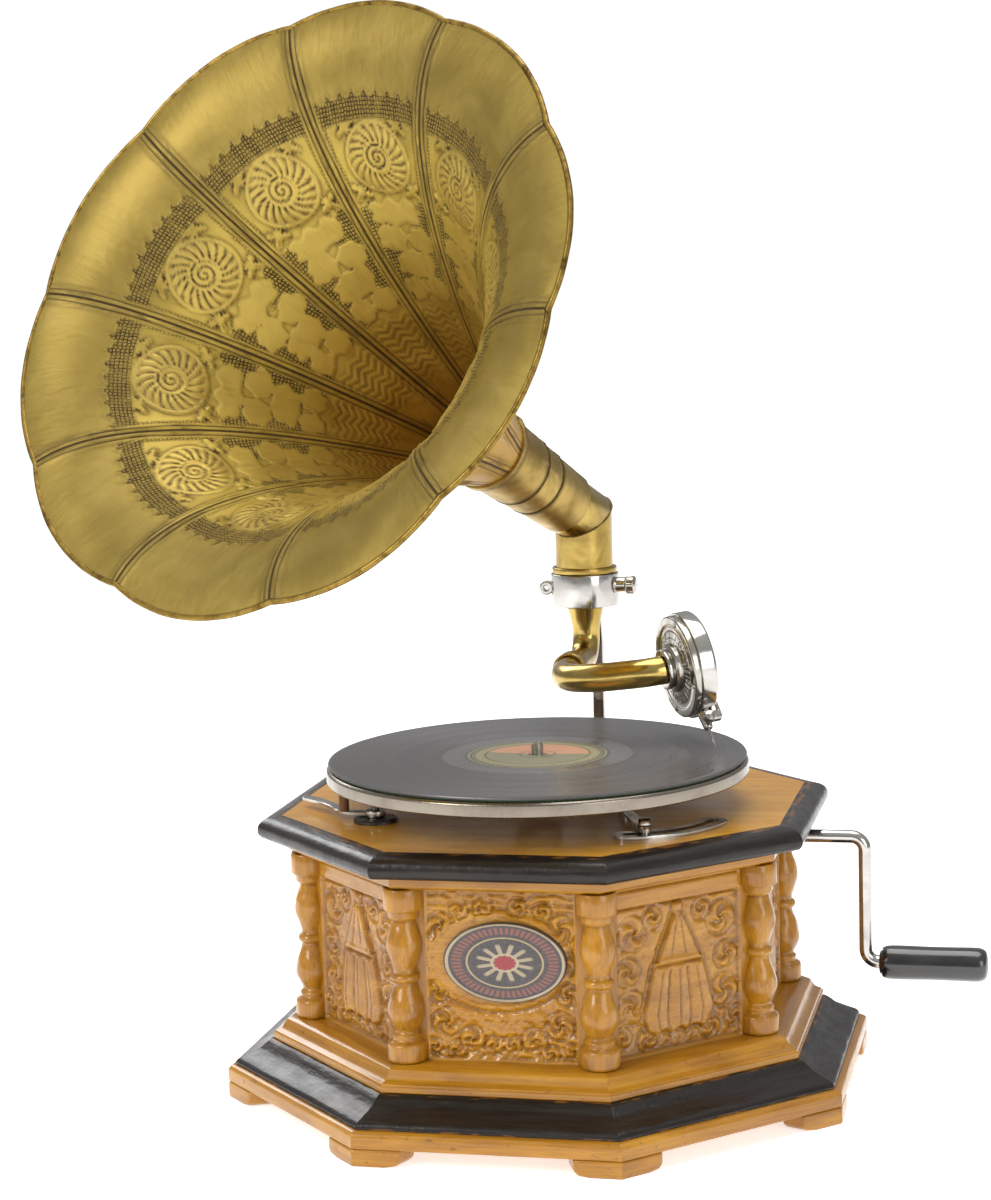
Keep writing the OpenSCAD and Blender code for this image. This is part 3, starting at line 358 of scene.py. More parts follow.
def make_label():
    """Printed paper disc: one half olive, one half salmon, fine rings, no lettering."""
    p = Paint("label_paper", Coat_Weight=0.15, Coat_Roughness=0.3)
    reach = p.mark("reach")
    side = p.mark("spot", "Y")
    olive = rgb("8f8c72")
    salmon = rgb("cf9a7c")
    half = p.span(p.maths("ADD", side, p.maths("MULTIPLY", reach, -0.12)), -0.4, 0.4)
    colour = p.mix(p.maths("MULTIPLY", half, p.span(reach, 31.4, 31.0)), olive, salmon)
    for radius, width in ((39.6, 0.5), (37.8, 0.25), (31.3, 0.4), (10.5, 0.35), (5.2, 0.5)):
        gap = p.maths("ABSOLUTE", p.maths("SUBTRACT", reach, radius))
        colour = p.mix(p.span(gap, width + 0.15, width, 0.0, 0.8), colour, rgb("4a4433"))
    bent = {"Vector": p.place((0.16, 0.16, 0.16)), "Scale": 1.0, "Distortion": 6.0}
    spoke = p.node("TexWave", bent, "Fac")
    ring = p.maths("MULTIPLY", p.span(reach, 31.5, 32.2), p.span(reach, 37.6, 37.0))
    scrolls = p.maths("MULTIPLY", p.span(spoke, 0.6, 0.75), p.maths("MULTIPLY", ring, 0.5))
    colour = p.mix(scrolls, colour, rgb("c9bd8a"))
    fibre = p.noise(p.place((1.2, 1.2, 1.2)), 1.0, 4.0, 0.7)
    colour = p.mix(p.span(fibre, 0.55, 0.8, 0.0, 0.35), colour, rgb("57513d"))
    return p.finish(colour, p.span(fibre, 0.3, 0.7, 0.5, 0.65), p.bump(fibre, 0.05, 0.5))


def make_badge():
    """Printed oval plate: dark ground, pale beaded border and a plain star of rays, no lettering."""
    p = Paint("badge_enamel", Coat_Weight=0.6, Coat_Roughness=0.12)
    across = p.mark("spot", "X")
    up = p.mark("spot", "Y")
    oval = p.mark("reach")
    ground = p.noise(p.place((0.7, 0.7, 0.7)), 1.0, 4.0, 0.8)
    cream = rgb("a8987a")
    colour = p.ramp(ground, [(0.3, rgb("1a1618")), (0.75, rgb("544b4c"))])
    edge = p.maths("ABSOLUTE", p.maths("SUBTRACT", oval, 0.95))
    colour = p.mix(p.span(edge, 0.03, 0.018), colour, cream)
    inner = p.maths("ABSOLUTE", p.maths("SUBTRACT", oval, 0.62))
    colour = p.mix(p.span(inner, 0.022, 0.012), colour, rgb("a08d62"))
    angle = p.maths("ARCTAN2", up, across)
    beads = p.maths("ABSOLUTE", p.maths("SINE", p.maths("MULTIPLY", angle, 28.0)))
    belt = p.span(p.maths("ABSOLUTE", p.maths("SUBTRACT", oval, 0.79)), 0.1, 0.06)
    lozenge = p.maths("MULTIPLY", belt, p.span(beads, 0.45, 0.7))
    colour = p.mix(p.maths("MULTIPLY", lozenge, 0.75), colour, rgb("8d4c3c"))
    rays = p.maths("ABSOLUTE", p.maths("SINE", p.maths("MULTIPLY", angle, 6.0)))
    star = p.maths("MULTIPLY", p.span(oval, 0.5, 0.42), p.span(p.maths("SUBTRACT", rays, oval), 0.35, 0.5))
    colour = p.mix(p.maths("MULTIPLY", star, 0.85), colour, cream)
    colour = p.mix(p.span(oval, 0.2, 0.15), colour, rgb("8e1f27"))
    colour = p.mix(p.span(p.maths("ABSOLUTE", p.maths("SUBTRACT", oval, 0.21)), 0.03, 0.015), colour, cream)
    rub = p.noise(p.place((0.25, 0.25, 0.25)), 1.0, 5.0, 0.75)
    colour = p.mix(p.span(rub, 0.6, 0.78, 0.0, 0.5), colour, rgb("7a736c"))
    return p.finish(colour, p.span(ground, 0.3, 0.7, 0.35, 0.5), p.bump(ground, 0.08, 0.5))


def soft_sheet(name, light, dark, size, rough=0.9, sheen=0.3, height=0.3):
    """Felt, leather or rubber: mottled colour over a fine raised texture."""
    p = Paint(name, Sheen_Weight=sheen, Sheen_Roughness=0.5)
    fuzz = p.noise(p.place((1 / size, 1 / size, 1 / size)), 1.0, 5.0, 0.75)
    cloud = p.noise(p.place((0.04, 0.04, 0.04)), 1.0, 3.0, 0.6)
    colour = p.mix(fuzz, dark, light)
    colour = p.mix(p.span(cloud, 0.4, 0.7, 0.0, 0.4), colour, dark)
    return p.finish(colour, p.span(fuzz, 0.2, 0.8, rough - 0.1, rough), p.bump(fuzz, height, 0.6))


def make_grip():
    p = Paint("black_grip", Coat_Weight=1.0, Coat_Roughness=0.07)
    lathe_marks = p.noise(p.place((1.1, 0.08, 0.08)), 1.0, 3.0, 0.6)
    cloud = p.noise(p.place((0.05, 0.12, 0.12)), 1.0, 3.0, 0.6)
    colour = p.ramp(cloud, [(0.35, rgb("0b0a0a")), (0.75, rgb("1d1a19"))])
    dust = p.noise(p.place((0.6, 0.6, 0.6)), 1.0, 4.0, 0.75)
    colour = p.mix(p.span(dust, 0.66, 0.82, 0.0, 0.35), colour, rgb("4c4743"))
    normal = p.bump(lathe_marks, 0.12, 0.5)
    return p.finish(colour, p.span(cloud, 0.3, 0.7, 0.22, 0.34), normal, coat_normal=normal)


def make_mica():
    p = Paint("mica", Coat_Weight=0.5, Coat_Roughness=0.1)
    flake = p.cells(p.place((0.12, 0.12, 0.12)), 1.0, "F1", 1.0)
    cloud = p.noise(p.place((0.2, 0.2, 0.2)), 1.0, 4.0, 0.6)
    colour = p.mix(p.span(flake, 0.3, 0.8), rgb("c9c4b4"), rgb("a49d86"))
    colour = p.mix(p.span(cloud, 0.5, 0.75, 0.0, 0.4), colour, rgb("877c60"))
    return p.finish(colour, p.span(cloud, 0.3, 0.7, 0.15, 0.3), p.bump(flake, 0.1, 0.5))


HONEY = wood("honey_wood", rgb("84530b"), rgb("ac7513"), rgb("c69126"))
BOARD = wood("board_wood", rgb("b07410"), rgb("cf931f"), rgb("dea631"), False, 0.4, None)
INNER_WOOD = wood("inner_wood", rgb("6d4a28"), rgb("8d6438"), rgb("a87f4e"), False, 0.1, None)
LACQUER = lacquer("black_gloss")
BELL = bell_brass("horn_brass")
NECK_BRASS = plain_brass("neck_brass", rgb("b59a58"), rgb("826a35"), 0.36, 0.5)
RIM_BRASS = metal("rim_brass", rgb("93793a"), rgb("4a3517"), 0.38, 0.55, 0.5, 1.0, 0.4)
TUBE_BRASS = plain_brass("polished_brass", rgb("c3a860"), rgb("957a3c"), 0.17, 0.3)
NICKEL = metal("nickel", rgb("bcb8b0"), rgb("6f685d"), 0.12, 0.26, 0.4, 0.55)
CHROME = metal("ring_chrome", rgb("c4c1bc"), rgb("857f75"), 0.1, 0.2, 0.3, 0.4)
PLATTER = metal("platter_nickel", rgb("8f867a"), rgb("5f574c"), 0.2, 0.32, 0.5, 0.4, 1.4, 0.0)
STEEL = metal("steel", rgb("b9b7b3"), rgb("6b6864"), 0.18, 0.34)
BLUED = metal("blued_steel", rgb("3d4350"), rgb("1c1e26"), 0.22, 0.38)
IRON = metal("dark_iron", rgb("6a6661"), rgb("2c2825"), 0.3, 0.5, 0.5, 0.8, 0.5)
GEAR_BRASS = metal("gear_brass", rgb("cda653"), rgb("86652a"), 0.18, 0.34)
RECORD = make_record()
LABEL = make_label()
BADGE = make_badge()
FELT = soft_sheet("green_felt", rgb("3f5a3a"), rgb("243522"), 0.8)
LEATHER = soft_sheet("brake_leather", rgb("8a5a34"), rgb("4d2f1a"), 1.2, 0.8, 0.1)
RUBBER = soft_sheet("gasket_rubber", rgb("3a3836"), rgb("232120"), 1.0, 0.75, 0.0, 0.1)
MICA = make_mica()
GRIP = make_grip()

# ---------------------------------------------------------------- mesh tools


def grid(rows, cols, wrap_rows=False, wrap_cols=False):
    """Quads of a grid of points numbered row by row."""
    i, j = np.meshgrid(
        np.arange(rows if wrap_rows else rows - 1),
        np.arange(cols if wrap_cols else cols - 1),
        indexing="ij",
    )
    n, m = (i + 1) % rows, (j + 1) % cols
    quads = np.stack([i * cols + j, i * cols + m, n * cols + m, n * cols + j], -1)
    return quads.reshape(-1, 4).tolist()


def ripple(points, size, seed, count=14):
    """Smooth noise from about -1 to 1 at each point, with bumps about size millimetres across."""
    points = np.asarray(points, float)
    chance = np.random.default_rng(seed)
    waves = chance.normal(size=(count, points.shape[-1]))
    waves *= TAU / size * chance.uniform(0.5, 1.5, (count, 1)) / np.linalg.norm(waves, axis=1, keepdims=True)
    phases = chance.uniform(0, TAU, count)
    return np.sin(points @ waves.T + phases).mean(-1) * 1.9


def moved(points, matrix):
    m = np.array(matrix, float)
    return np.asarray(points, float) @ m[:3, :3].T + m[:3, 3]


def turned(profile, sides=96, closed=True, irregular=0.0, seed=1):
    """Points and faces of a profile of (radius, height) turned about Z, anticlockwise in section."""
    profile = np.array(profile, float)
    angles = np.arange(sides) * TAU / sides
    rings = np.stack(
        [
            profile[:, :1] * np.cos(angles),
            profile[:, :1] * np.sin(angles),
            np.repeat(profile[:, 1:], sides, 1),
        ],
        -1,
    )
    points = rings.reshape(-1, 3)
    if irregular:
        offset = irregular * ripple(points, 9.0, seed)
        points[:, :2] *= (1 + offset / np.maximum(np.hypot(points[:, 0], points[:, 1]), 3))[:, None]
    faces = grid(len(profile), sides, closed, True)
    return points, faces


def rounded(corners, size=0.6, steps=3):
    """A closed section with each corner cut to a small round."""
    corners = [np.array(c, float) for c in corners]
    out = []
    for i, here in enumerate(corners):
        before, after = corners[i - 1], corners[(i + 1) % len(corners)]
        reach_in = min(size, np.linalg.norm(before - here) * 0.45)
        reach_out = min(size, np.linalg.norm(after - here) * 0.45)
        a = here + (before - here) / max(np.linalg.norm(before - here), 1e-9) * reach_in
        b = here + (after - here) / max(np.linalg.norm(after - here), 1e-9) * reach_out
        for s in np.linspace(0, 1, steps + 1):
            out.append((1 - s) ** 2 * a + 2 * s * (1 - s) * here + s * s * b)
    return np.array(out)


def smooth_line(points, steps=6):
    """Catmull-Rom curve through points of any dimension."""
    p = np.array(points, float)
    p = np.vstack([2 * p[0] - p[1], p, 2 * p[-1] - p[-2]])
    out = []
    for i in range(1, len(p) - 2):
        for s in np.arange(steps) / steps:
            out.append(
                0.5
                * (
                    2 * p[i]
                    + (p[i + 1] - p[i - 1]) * s
                    + (2 * p[i - 1] - 5 * p[i] + 4 * p[i + 1] - p[i + 2]) * s**2
                    + (3 * p[i] - p[i - 1] - 3 * p[i + 1] + p[i + 2]) * s**3
                )
            )
    out.append(p[-2])
    return np.array(out)


def tube(path, radius, sides=40, bore=None, loop=False):
    """A bar, or a tube where bore is given, along a path, with its section kept from twisting."""
    path = np.array(path, float)
    count = len(path)
    radius = np.broadcast_to(np.asarray(radius, float), (count,))
    ahead = np.roll(path, -1, 0) - path
    behind = path - np.roll(path, 1, 0)
    if not loop:
        ahead[-1] = behind[-1]
        behind[0] = ahead[0]
    along = ahead / np.linalg.norm(ahead, axis=1, keepdims=True)
    along += behind / np.linalg.norm(behind, axis=1, keepdims=True)
    along /= np.linalg.norm(along, axis=1, keepdims=True)
    first = np.cross(along[0], (0.3, 0.2, 0.93))
    side = first / np.linalg.norm(first)
    frames = []
    for direction in along:
        side = side - direction * (side @ direction)
        side /= np.linalg.norm(side)
        frames.append((side, np.cross(direction, side)))
    angles = np.arange(sides) * TAU / sides
    ring = np.array(
        [np.outer(np.cos(angles), u) + np.outer(np.sin(angles), v) for u, v in frames]
    )
    outer = path[:, None] + ring * radius[:, None, None]
    if bore is None:
        faces = grid(count, sides, loop, True)
        if not loop:
            faces += [list(range(sides))[::-1], list(range((count - 1) * sides, count * sides))]
        return outer.reshape(-1, 3), faces
    inner = (path[:, None] + ring * bore)[::-1]
    both = np.concatenate([outer, inner])
    return both.reshape(-1, 3), grid(2 * count, sides, True, True)


def arc(centre, start, normal, degrees, steps):
    """Points of an arc from start, turning about centre."""
    centre, start, normal = Vector(centre), Vector(start), Vector(normal)
    return [
        list(centre + Matrix.Rotation(math.radians(degrees) * i / steps, 3, normal) @ (start - centre))
        for i in range(1, steps + 1)
    ]


def slab(outline, layers):
    """A plate from its anticlockwise outline: each layer is (height, how far in from the outline)."""
    line = np.array(outline, float)
    ahead = np.roll(line, -1, 0) - line
    ahead /= np.linalg.norm(ahead, axis=1, keepdims=True)
    behind = np.roll(ahead, 1, 0)
    out = np.stack([ahead[:, 1] + behind[:, 1], -(ahead[:, 0] + behind[:, 0])], 1)
    out /= np.maximum((out * out).sum(1, keepdims=True) / 2, 0.3)
    points = []
    for height, inset in layers:
        ring = line - out * inset
        points.append(np.column_stack([ring, np.full(len(ring), height)]))
    n = len(line)
    faces = grid(len(layers), n, False, True)
    faces += [list(range(n))[::-1], list(range((len(layers) - 1) * n, len(layers) * n))]
    return np.concatenate(points), faces


def block(size, centre, bevel=0.5):
    """A box with its upright and level edges eased."""
    x, y, z = np.array(size) / 2
    b = bevel
    outline = [
        (x, b - y), (x, y - b), (x - b, y), (b - x, y), (-x, y - b), (-x, b - y), (b - x, -y), (x - b, -y),
    ]
    points, faces = slab(outline, [(-z, b), (b - z, 0), (z - b, 0), (z, b)])
    return points + np.array(centre), faces


def join(*shapes):
    points, faces, base = [], [], 0
    for p, f in shapes:
        points.append(np.asarray(p, float))
        faces += [[v + base for v in face] for face in f]
        base += len(p)
    return np.concatenate(points), faces


def disc_head(radius, height, cross=False, sides=48):
    """A domed screw head with its driving slot, standing on Z = 0."""
    rings = np.linspace(0.02, 1, 9)
    angles = np.arange(sides) * TAU / sides
    points = [
        (r * radius * math.cos(a), r * radius * math.sin(a), height * (1 - 0.45 * r**3))
        for r in rings
        for a in angles
    ]
    points = np.array(points + [(radius * math.cos(a), radius * math.sin(a), 0) for a in angles])
    slot = np.clip(1.6 - np.abs(points[:, 1]) / (0.09 * radius), 0, 1)
    if cross:
        slot = np.maximum(slot, np.clip(1.6 - np.abs(points[:, 0]) / (0.09 * radius), 0, 1))
    top = points[:, 2] > 0
    points[top, 2] -= slot[top] * height * 0.4
    faces = grid(len(rings) + 1, sides, False, True)
    faces.append(list(range(sides))[::-1])
    faces.append(list(range(len(rings) * sides, (len(rings) + 1) * sides)))
    return points, faces


def build(name, shape, material, body, replaced=(), sharp=38, sides=None, marks=None, fix=True):
    """A piece from (points, faces) in millimetres. sides says which side of the case each face is on,
    for the run of the wood's grain, and marks are numbers or vectors kept on its points."""
    points, faces = shape
    mesh = bpy.data.meshes.new(name)
    mesh.from_pydata((np.asarray(points) * MM).tolist(), [], faces)
    if fix:
        work = bmesh.new()
        work.from_mesh(mesh)
        bmesh.ops.recalc_face_normals(work, faces=work.faces)
        work.to_mesh(mesh)
        work.free()
    mesh.shade_smooth()
    mesh.set_sharp_from_angle(angle=math.radians(sharp))
    if sides is not None:
        corner = np.zeros(len(mesh.loops), np.int32)
        mesh.loops.foreach_get("vertex_index", corner)
        total = np.zeros(len(mesh.polygons), np.int32)
        mesh.polygons.foreach_get("loop_total", total)
        side = np.repeat(np.broadcast_to(np.asarray(sides, float), (len(total),)), total)
        p = np.asarray(points)[corner]
        turn = np.radians(45 * side)
        out = p[:, 0] * np.cos(turn) + p[:, 1] * np.sin(turn)
        along = p[:, 1] * np.cos(turn) - p[:, 0] * np.sin(turn)
        grain = np.column_stack([along + 311 * side, out, p[:, 2]])
        if side[0] < 0:
            grain = np.column_stack([p[:, 2] + 97 * side, p[:, 0], p[:, 1]])
        stored = mesh.attributes.new("grain", "FLOAT_VECTOR", "CORNER")
        stored.data.foreach_set("vector", grain.astype(np.float32).ravel())
    for key, values in (marks or {}).items():
        values = np.asarray(values, np.float32)
        kind, field = ("FLOAT", "value") if values.ndim == 1 else ("FLOAT_VECTOR", "vector")
        stored = mesh.attributes.new(key, kind, "POINT")
        stored.data.foreach_set(field, values.ravel())
    mesh.materials.append(material)
    piece = bpy.data.objects.new(name, mesh)
    bpy.context.scene.collection.objects.link(piece)
    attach(piece, body)
    if replaced:
        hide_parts(*([replaced] if isinstance(replaced, str) else replaced))
    return piece


def octagon_rail(section, steps=28, uneven=0.0, seed=3):
    """A mitred octagonal ring from its section of (corner radius, height). Returns shape and sides."""
    section = np.array(section, float)
    spots = np.sin(np.linspace(-math.pi / 2, math.pi / 2, steps + 1))[:-1] * 0.5 + 0.5
    columns, side_of = [], []
    for k in range(8):
        a, b = 45 * k - HALF, 45 * k + HALF
        for f in spots:
            way = np.array([(1 - f) * cos(a) + f * cos(b), (1 - f) * sin(a) + f * sin(b)])
            columns.append(np.column_stack([section[:, :1] * way, section[:, 1:]]))
            side_of.append(k)
    points = np.concatenate(columns)
    if uneven:
        offset = uneven * np.minimum(ripple(points, 26.0, seed), 0)
        push = points[:, :2] / np.linalg.norm(points[:, :2], axis=1, keepdims=True)
        points[:, :2] += push * offset[:, None]
    faces = grid(len(columns), len(section), True, True)
    return (points, faces), np.repeat(side_of, len(section))


def profile_hollow(profile, reach=3):
    """How far each point of a turned profile lies in a hollow, from 0 to 1."""
    radius = np.array(profile, float)[:, 0]
    padded = np.pad(radius, reach, mode="edge")
    around = np.array([padded[i : i + 2 * reach + 1].mean() for i in range(len(radius))])
    return np.clip((around - radius) / 1.2, 0, 1)


def blur(field, times):
    for _ in range(times):
        padded = np.pad(field, 1, mode="edge")
        field = (
            padded[:-2, 1:-1] + padded[2:, 1:-1] + padded[1:-1, :-2] + padded[1:-1, 2:] + padded[1:-1, 1:-1]
        ) / 5
    return field


def step(low, high, value):
    s = np.clip((value - low) / (high - low), 0, 1)
    return s * s * (3 - 2 * s)


def ridge(distance, width):
    """A rounded ridge of height 1 where distance is 0."""
    return np.exp(-((distance / width) ** 2))


# ---------------------------------------------------------------- case

def edge_wear(section, spots, count):
    """Wear mark of a rail: 1 on the named section points."""
    worn = np.zeros(len(section))
    worn[list(spots)] = 1
    return np.tile(worn, count)


plinth_section = rounded([(150, 10), (200, 10), (200, 18), (197.5, 20), (150, 20)], 1.6)
shape, sides = octagon_rail(plinth_section, 28, 0.25)
# Painted shade: the top face, where the moulding sits on it, is a little darker
build("plinth", shape, HONEY, "case", "plinth", 34, sides,
      {"stain_and_shade": np.tile(np.where(plinth_section[:, 1] > 19.9, 0.12, 0.0), 8 * 28)})

cove = smooth_line(
    [(195.3, 20), (195.0, 22), (192.6, 24.1), (187, 26.2), (180.5, 29.2), (176, 32.6), (173.4, 34.2)],
    5,
)
moulding_section = np.vstack([[(150, 20)], cove, [(172, 34.5), (150, 34.5)]])
shape, sides = octagon_rail(moulding_section, 28, 0.3, 5)
spots = list(range(1, 4)) + list(range(len(moulding_section) - 4, len(moulding_section) - 1))
build("base_moulding", shape, LACQUER, "case", "base_moulding", 34, sides,
      {"wear": edge_wear(moulding_section, spots, 8 * 28)})

step_section = np.vstack(
    [
        rounded([(130, 34.5), (172, 34.5), (172, 38.2)], 0.8)[2:],
        smooth_line([(170.6, 39.2), (167, 40.8), (165, 43.2), (163.4, 45.6), (160.6, 46.9)], 4),
        [(130, 47)],
    ]
)
shape, sides = octagon_rail(step_section, 28, 0.2, 7)
# Painted shade: darker along the lower edge, where the step meets the moulding, and in its cove
hollow = np.exp(-((step_section[:, 1] - 43) / 1.2) ** 2) * 0.35 + np.where(step_section[:, 1] < 35.2, 0.7, 0)
build("base_step", shape, HONEY, "case", "base_step", 34, sides,
      {"stain_and_shade": np.tile(hollow, 8 * 28)})

rail_section = rounded([(WALL_R, 148), (155, 148), (158, 150), (158, 157), (WALL_R, 157)], 0.9)
shape, sides = octagon_rail(rail_section, 28, 0.2, 9)
# Painted shade: the rail's underside is much darker than the rest
build("top_rail", shape, HONEY, "case", "top_rail", 34, sides,
      {"stain_and_shade": np.tile(np.where(rail_section[:, 1] < 148.6, 0.6, 0.1), 8 * 28)})

bull = smooth_line(
    [
        (170.0, 157.0), (173.8, 157.9), (176.0, 160), (176.6, 163),
        (175.6, 166.2), (172.6, 168.9), (168.4, 170.2), (164.2, 170.9),
    ],
    4,
)
bull = np.minimum(bull, [176.6, 171])
lid_section = np.vstack([[(161.5, 157)], bull, [(161.5, 171)]])
shape, sides = octagon_rail(lid_section, 28, 0.0, 11)
spots = list(range(len(lid_section) - 4, len(lid_section)))
build("lid_moulding", shape, LACQUER, "case", "lid_moulding", 34, sides,
      {"wear": edge_wear(lid_section, spots, 8 * 28)})


def corner_foot(k):
    """Bracket foot: an eased block that turns the plinth's corner."""
    section = rounded([(0, 0.0), (0, 10), (14, 10), (14, 0.0)], 1.4, 3)[::-1]
    mid = HALF + 45 * k
    points = []
    stops = [-27, -26.3, -24.5, -18, -9, -2, 0, 2, 9, 18, 24.5, 26.3, 27]
    for d in stops:
        way = mid - 90 - HALF if d < 0 else mid + 90 + HALF
        ease = 1.0 if abs(d) > 26.9 else (0.3 if abs(d) > 26 else 0.0)
        middle = section.mean(0)
        ring = section + (middle - section) * 0.12 * ease
        # The lower inner edge of each end is scooped, as if sawn
        for inward, z in ring:
            r = 200 - inward / cos(HALF)
            lift = 3.2 * max(0.0, (abs(d) - 21) / 6) ** 2 * (z < 5)
            points.append((r * cos(mid) + abs(d) * cos(way), r * sin(mid) + abs(d) * sin(way), z + lift))
    points = np.array(points)
    points[:, :2] *= (1 + 0.0012 * np.minimum(ripple(points, 14.0, 20 + k), 0))[:, None]
    n = len(section)
    faces = grid(len(stops), n, False, True)
    faces += [list(range(n)), list(range((len(stops) - 1) * n, len(stops) * n))[::-1]]
    # Darker along the bottom edge of the foot
    bottom_edge_dark = step(1.2, 0.0, points[:, 2]) * 0.9
    side = np.repeat([k if d < 0 else k + 1 for d in stops[:-1]], n).tolist() + [k, k + 1]
    build(f"corner_foot_{k}", (points, faces), HONEY, "case", "corner_feet", 34, side,
          {"stain_and_shade": bottom_edge_dark})


for k in range(8):
    corner_foot(k)

column_base = [(0.1, 0), (10.4, 0.0), (11.3, 0.7), (11.5, 2), (11.5, 9.6), (11.1, 10.8)]
lower_vase = [
    (9.6, 11.6), (8.3, 13), (8.6, 15.2), (7.4, 16.6), (7.0, 18), (8.8, 21.5),
    (10.5, 26), (10.6, 30), (9.6, 35.5), (7.8, 40.5), (6.6, 44.2),
]
column_ring = [(6.5, 45.6), (7.9, 46.8), (8.5, 48.5), (7.9, 50.2), (6.5, 51.4)]
upper_vase = [(6.4, 53.6), (8.2, 58.5), (9.9, 64), (10.2, 68), (9.3, 73), (7.4, 78.6), (6.6, 82)]
column_cap = [
    (8.2, 82.8), (9.0, 84.4), (9.0, 87.4), (9.6, 88.1), (11.0, 88.2),
    (11.5, 89), (11.5, 99.8), (10.9, 100.8), (0.1, 101),
]
column_line = np.vstack(
    [
        column_base, smooth_line(lower_vase, 4), smooth_line(column_ring, 3),
        smooth_line(upper_vase, 4), column_cap,
    ]
)

# Corner post behind each column: two legs along the walls
post_in = WALL_R - WALL_THICK / cos(HALF)
leg_x, leg_y = 12.5 * sin(HALF), 12.5 * cos(HALF)
thick_x, thick_y = WALL_THICK * cos(HALF), WALL_THICK * sin(HALF)
post = [
    (WALL_R, 0), (WALL_R - leg_x, leg_y), (WALL_R - leg_x - thick_x, leg_y - thick_y), (post_in, 0),
    (WALL_R - leg_x - thick_x, thick_y - leg_y), (WALL_R - leg_x, -leg_y),
]
for k in range(8):
    place = shift(0, 0, WALL_Z) @ turn_about("Z", HALF + 45 * k)
    points, faces = turned(column_line, 56, False, 0.28, 40 + k)
    # Darker in the turned grooves (part stain, part painted shade), in patchy stains near the foot and in
    # random patches; the post behind is a little darker all over
    hollow = np.repeat(profile_hollow(column_line), 56)
    bottom = step(5.5, 1.0, points[:, 2]) * step(0.05, 0.5, ripple(points, 7.0, 60 + k)) * 0.8
    hollow = np.clip(hollow + bottom + 0.25 * step(0.35, 0.8, ripple(points, 11.0, 80 + k)), 0, 1)
    points = points + np.array([WALL_R, 0, 0])
    wall, wall_faces = slab(post, [(0, 0.3), (0.4, 0), (WALL_HEIGHT - 0.4, 0), (WALL_HEIGHT, 0.3)])
    shape = join((points, faces), (wall, wall_faces))
    build(f"corner_column_{k}", (moved(shape[0], place), shape[1]), HONEY, "case",
          "corner_columns", 50, -1 - k, {"stain_and_shade": np.concatenate([hollow, np.full(len(wall), 0.25)])})


def scroll(y, z, centre_y, centre_z, size, lobes, hand):
    """A carved leaf curl: lobes that swirl about its centre."""
    dy, dz = (y - centre_y) * hand, z - centre_z
    radius = np.hypot(dy, dz) + 0.01
    angle = np.arctan2(dz, dy)
    swirl = np.cos(lobes * angle + 5.0 * np.log(radius / size + 0.25))
    return swirl * step(size, size * 0.72, radius) - 0.9 * ridge(radius - size * 0.95, 1.1)


def tent_relief(y, z, seed):
    """Side panel: flat frieze over a sunk ground with a peaked, pleated tent among leaf curls."""
    flat = np.stack([y, z], -1)
    gouge = ripple(flat, 8.0, seed) * 0.22 + ripple(flat, 3.2, seed + 1) * 0.12
    frieze = step(86.5, 88.0, z)
    leaves = np.zeros_like(y)
    for hand in (-1, 1):
        for cy, cz, size, lobes in (
            (31, 72, 11, 3), (17, 79, 7, 2), (34, 50, 9, 3), (32, 29, 11, 3), (22, 9, 8, 2), (39, 12, 7, 2),
        ):
            leaves += scroll(y * hand, z, cy, cz, size, lobes, 1)
    ground = -2.0 + 0.95 * leaves + gouge * 1.6
    # The tent: cone, brim and pleated skirt with a scalloped hem
    cone = np.interp(z, [53, 80], [14.5, 2.2])
    skirt = np.interp(z, [8, 14, 22, 40, 53], [17, 22, 24, 19.5, 16])
    half = np.where(z > 53, cone, skirt)
    hem = 10.5 + 2.6 * np.abs(np.cos(y * math.pi / 11.0))
    inside = step(-0.9, 0.9, half - np.abs(y)) * step(-0.9, 0.9, z - hem) * step(0.8, -0.8, z - 80)
    waves = np.cos(y / np.maximum(half, 4) * math.pi * 3.0 + 0.5 * ripple(flat, 30.0, seed + 4))
    pleats = 0.75 * waves * step(51, 46, z)
    body = 0.1 + pleats + 0.6 * ridge(z - 53, 1.5) - 1.3 * ridge(z - 50.2, 0.9) + gouge * 0.7
    fold = y / np.maximum(half, 4)
    for crease in (-0.66, -0.34, 0.0, 0.34, 0.66):
        body -= 1.1 * ridge((fold - crease) * half, 0.7) * step(49.5, 46, z)
    for crease in (-0.4, 0.35):
        body -= 0.8 * ridge((fold - crease) * half, 0.6) * step(55, 58, z)
    knob = ridge(np.hypot(y, z - 83.0), 4.0) * 1.7 - 0.9 * ridge(np.hypot(y, z - 83.0) - 4.4, 0.8)
    trench = ridge(np.minimum(half - np.abs(y), z - hem) + 1.9, 1.5) * step(82, 79, z) * (1 - inside)
    field = ground * (1 - inside) + body * inside - 1.3 * trench + knob * (1 - frieze)
    top = 0.15 + gouge * 0.35 - 0.9 * ridge(z - 97.5, 0.7)
    field = field * (1 - frieze) + top * frieze - 1.2 * ridge(z - 86.6, 0.9)
    border = step(43.2, 41.6, np.abs(y)) * step(0.6, 2.4, z)
    return np.clip(field, -3.4, 1.0) * border


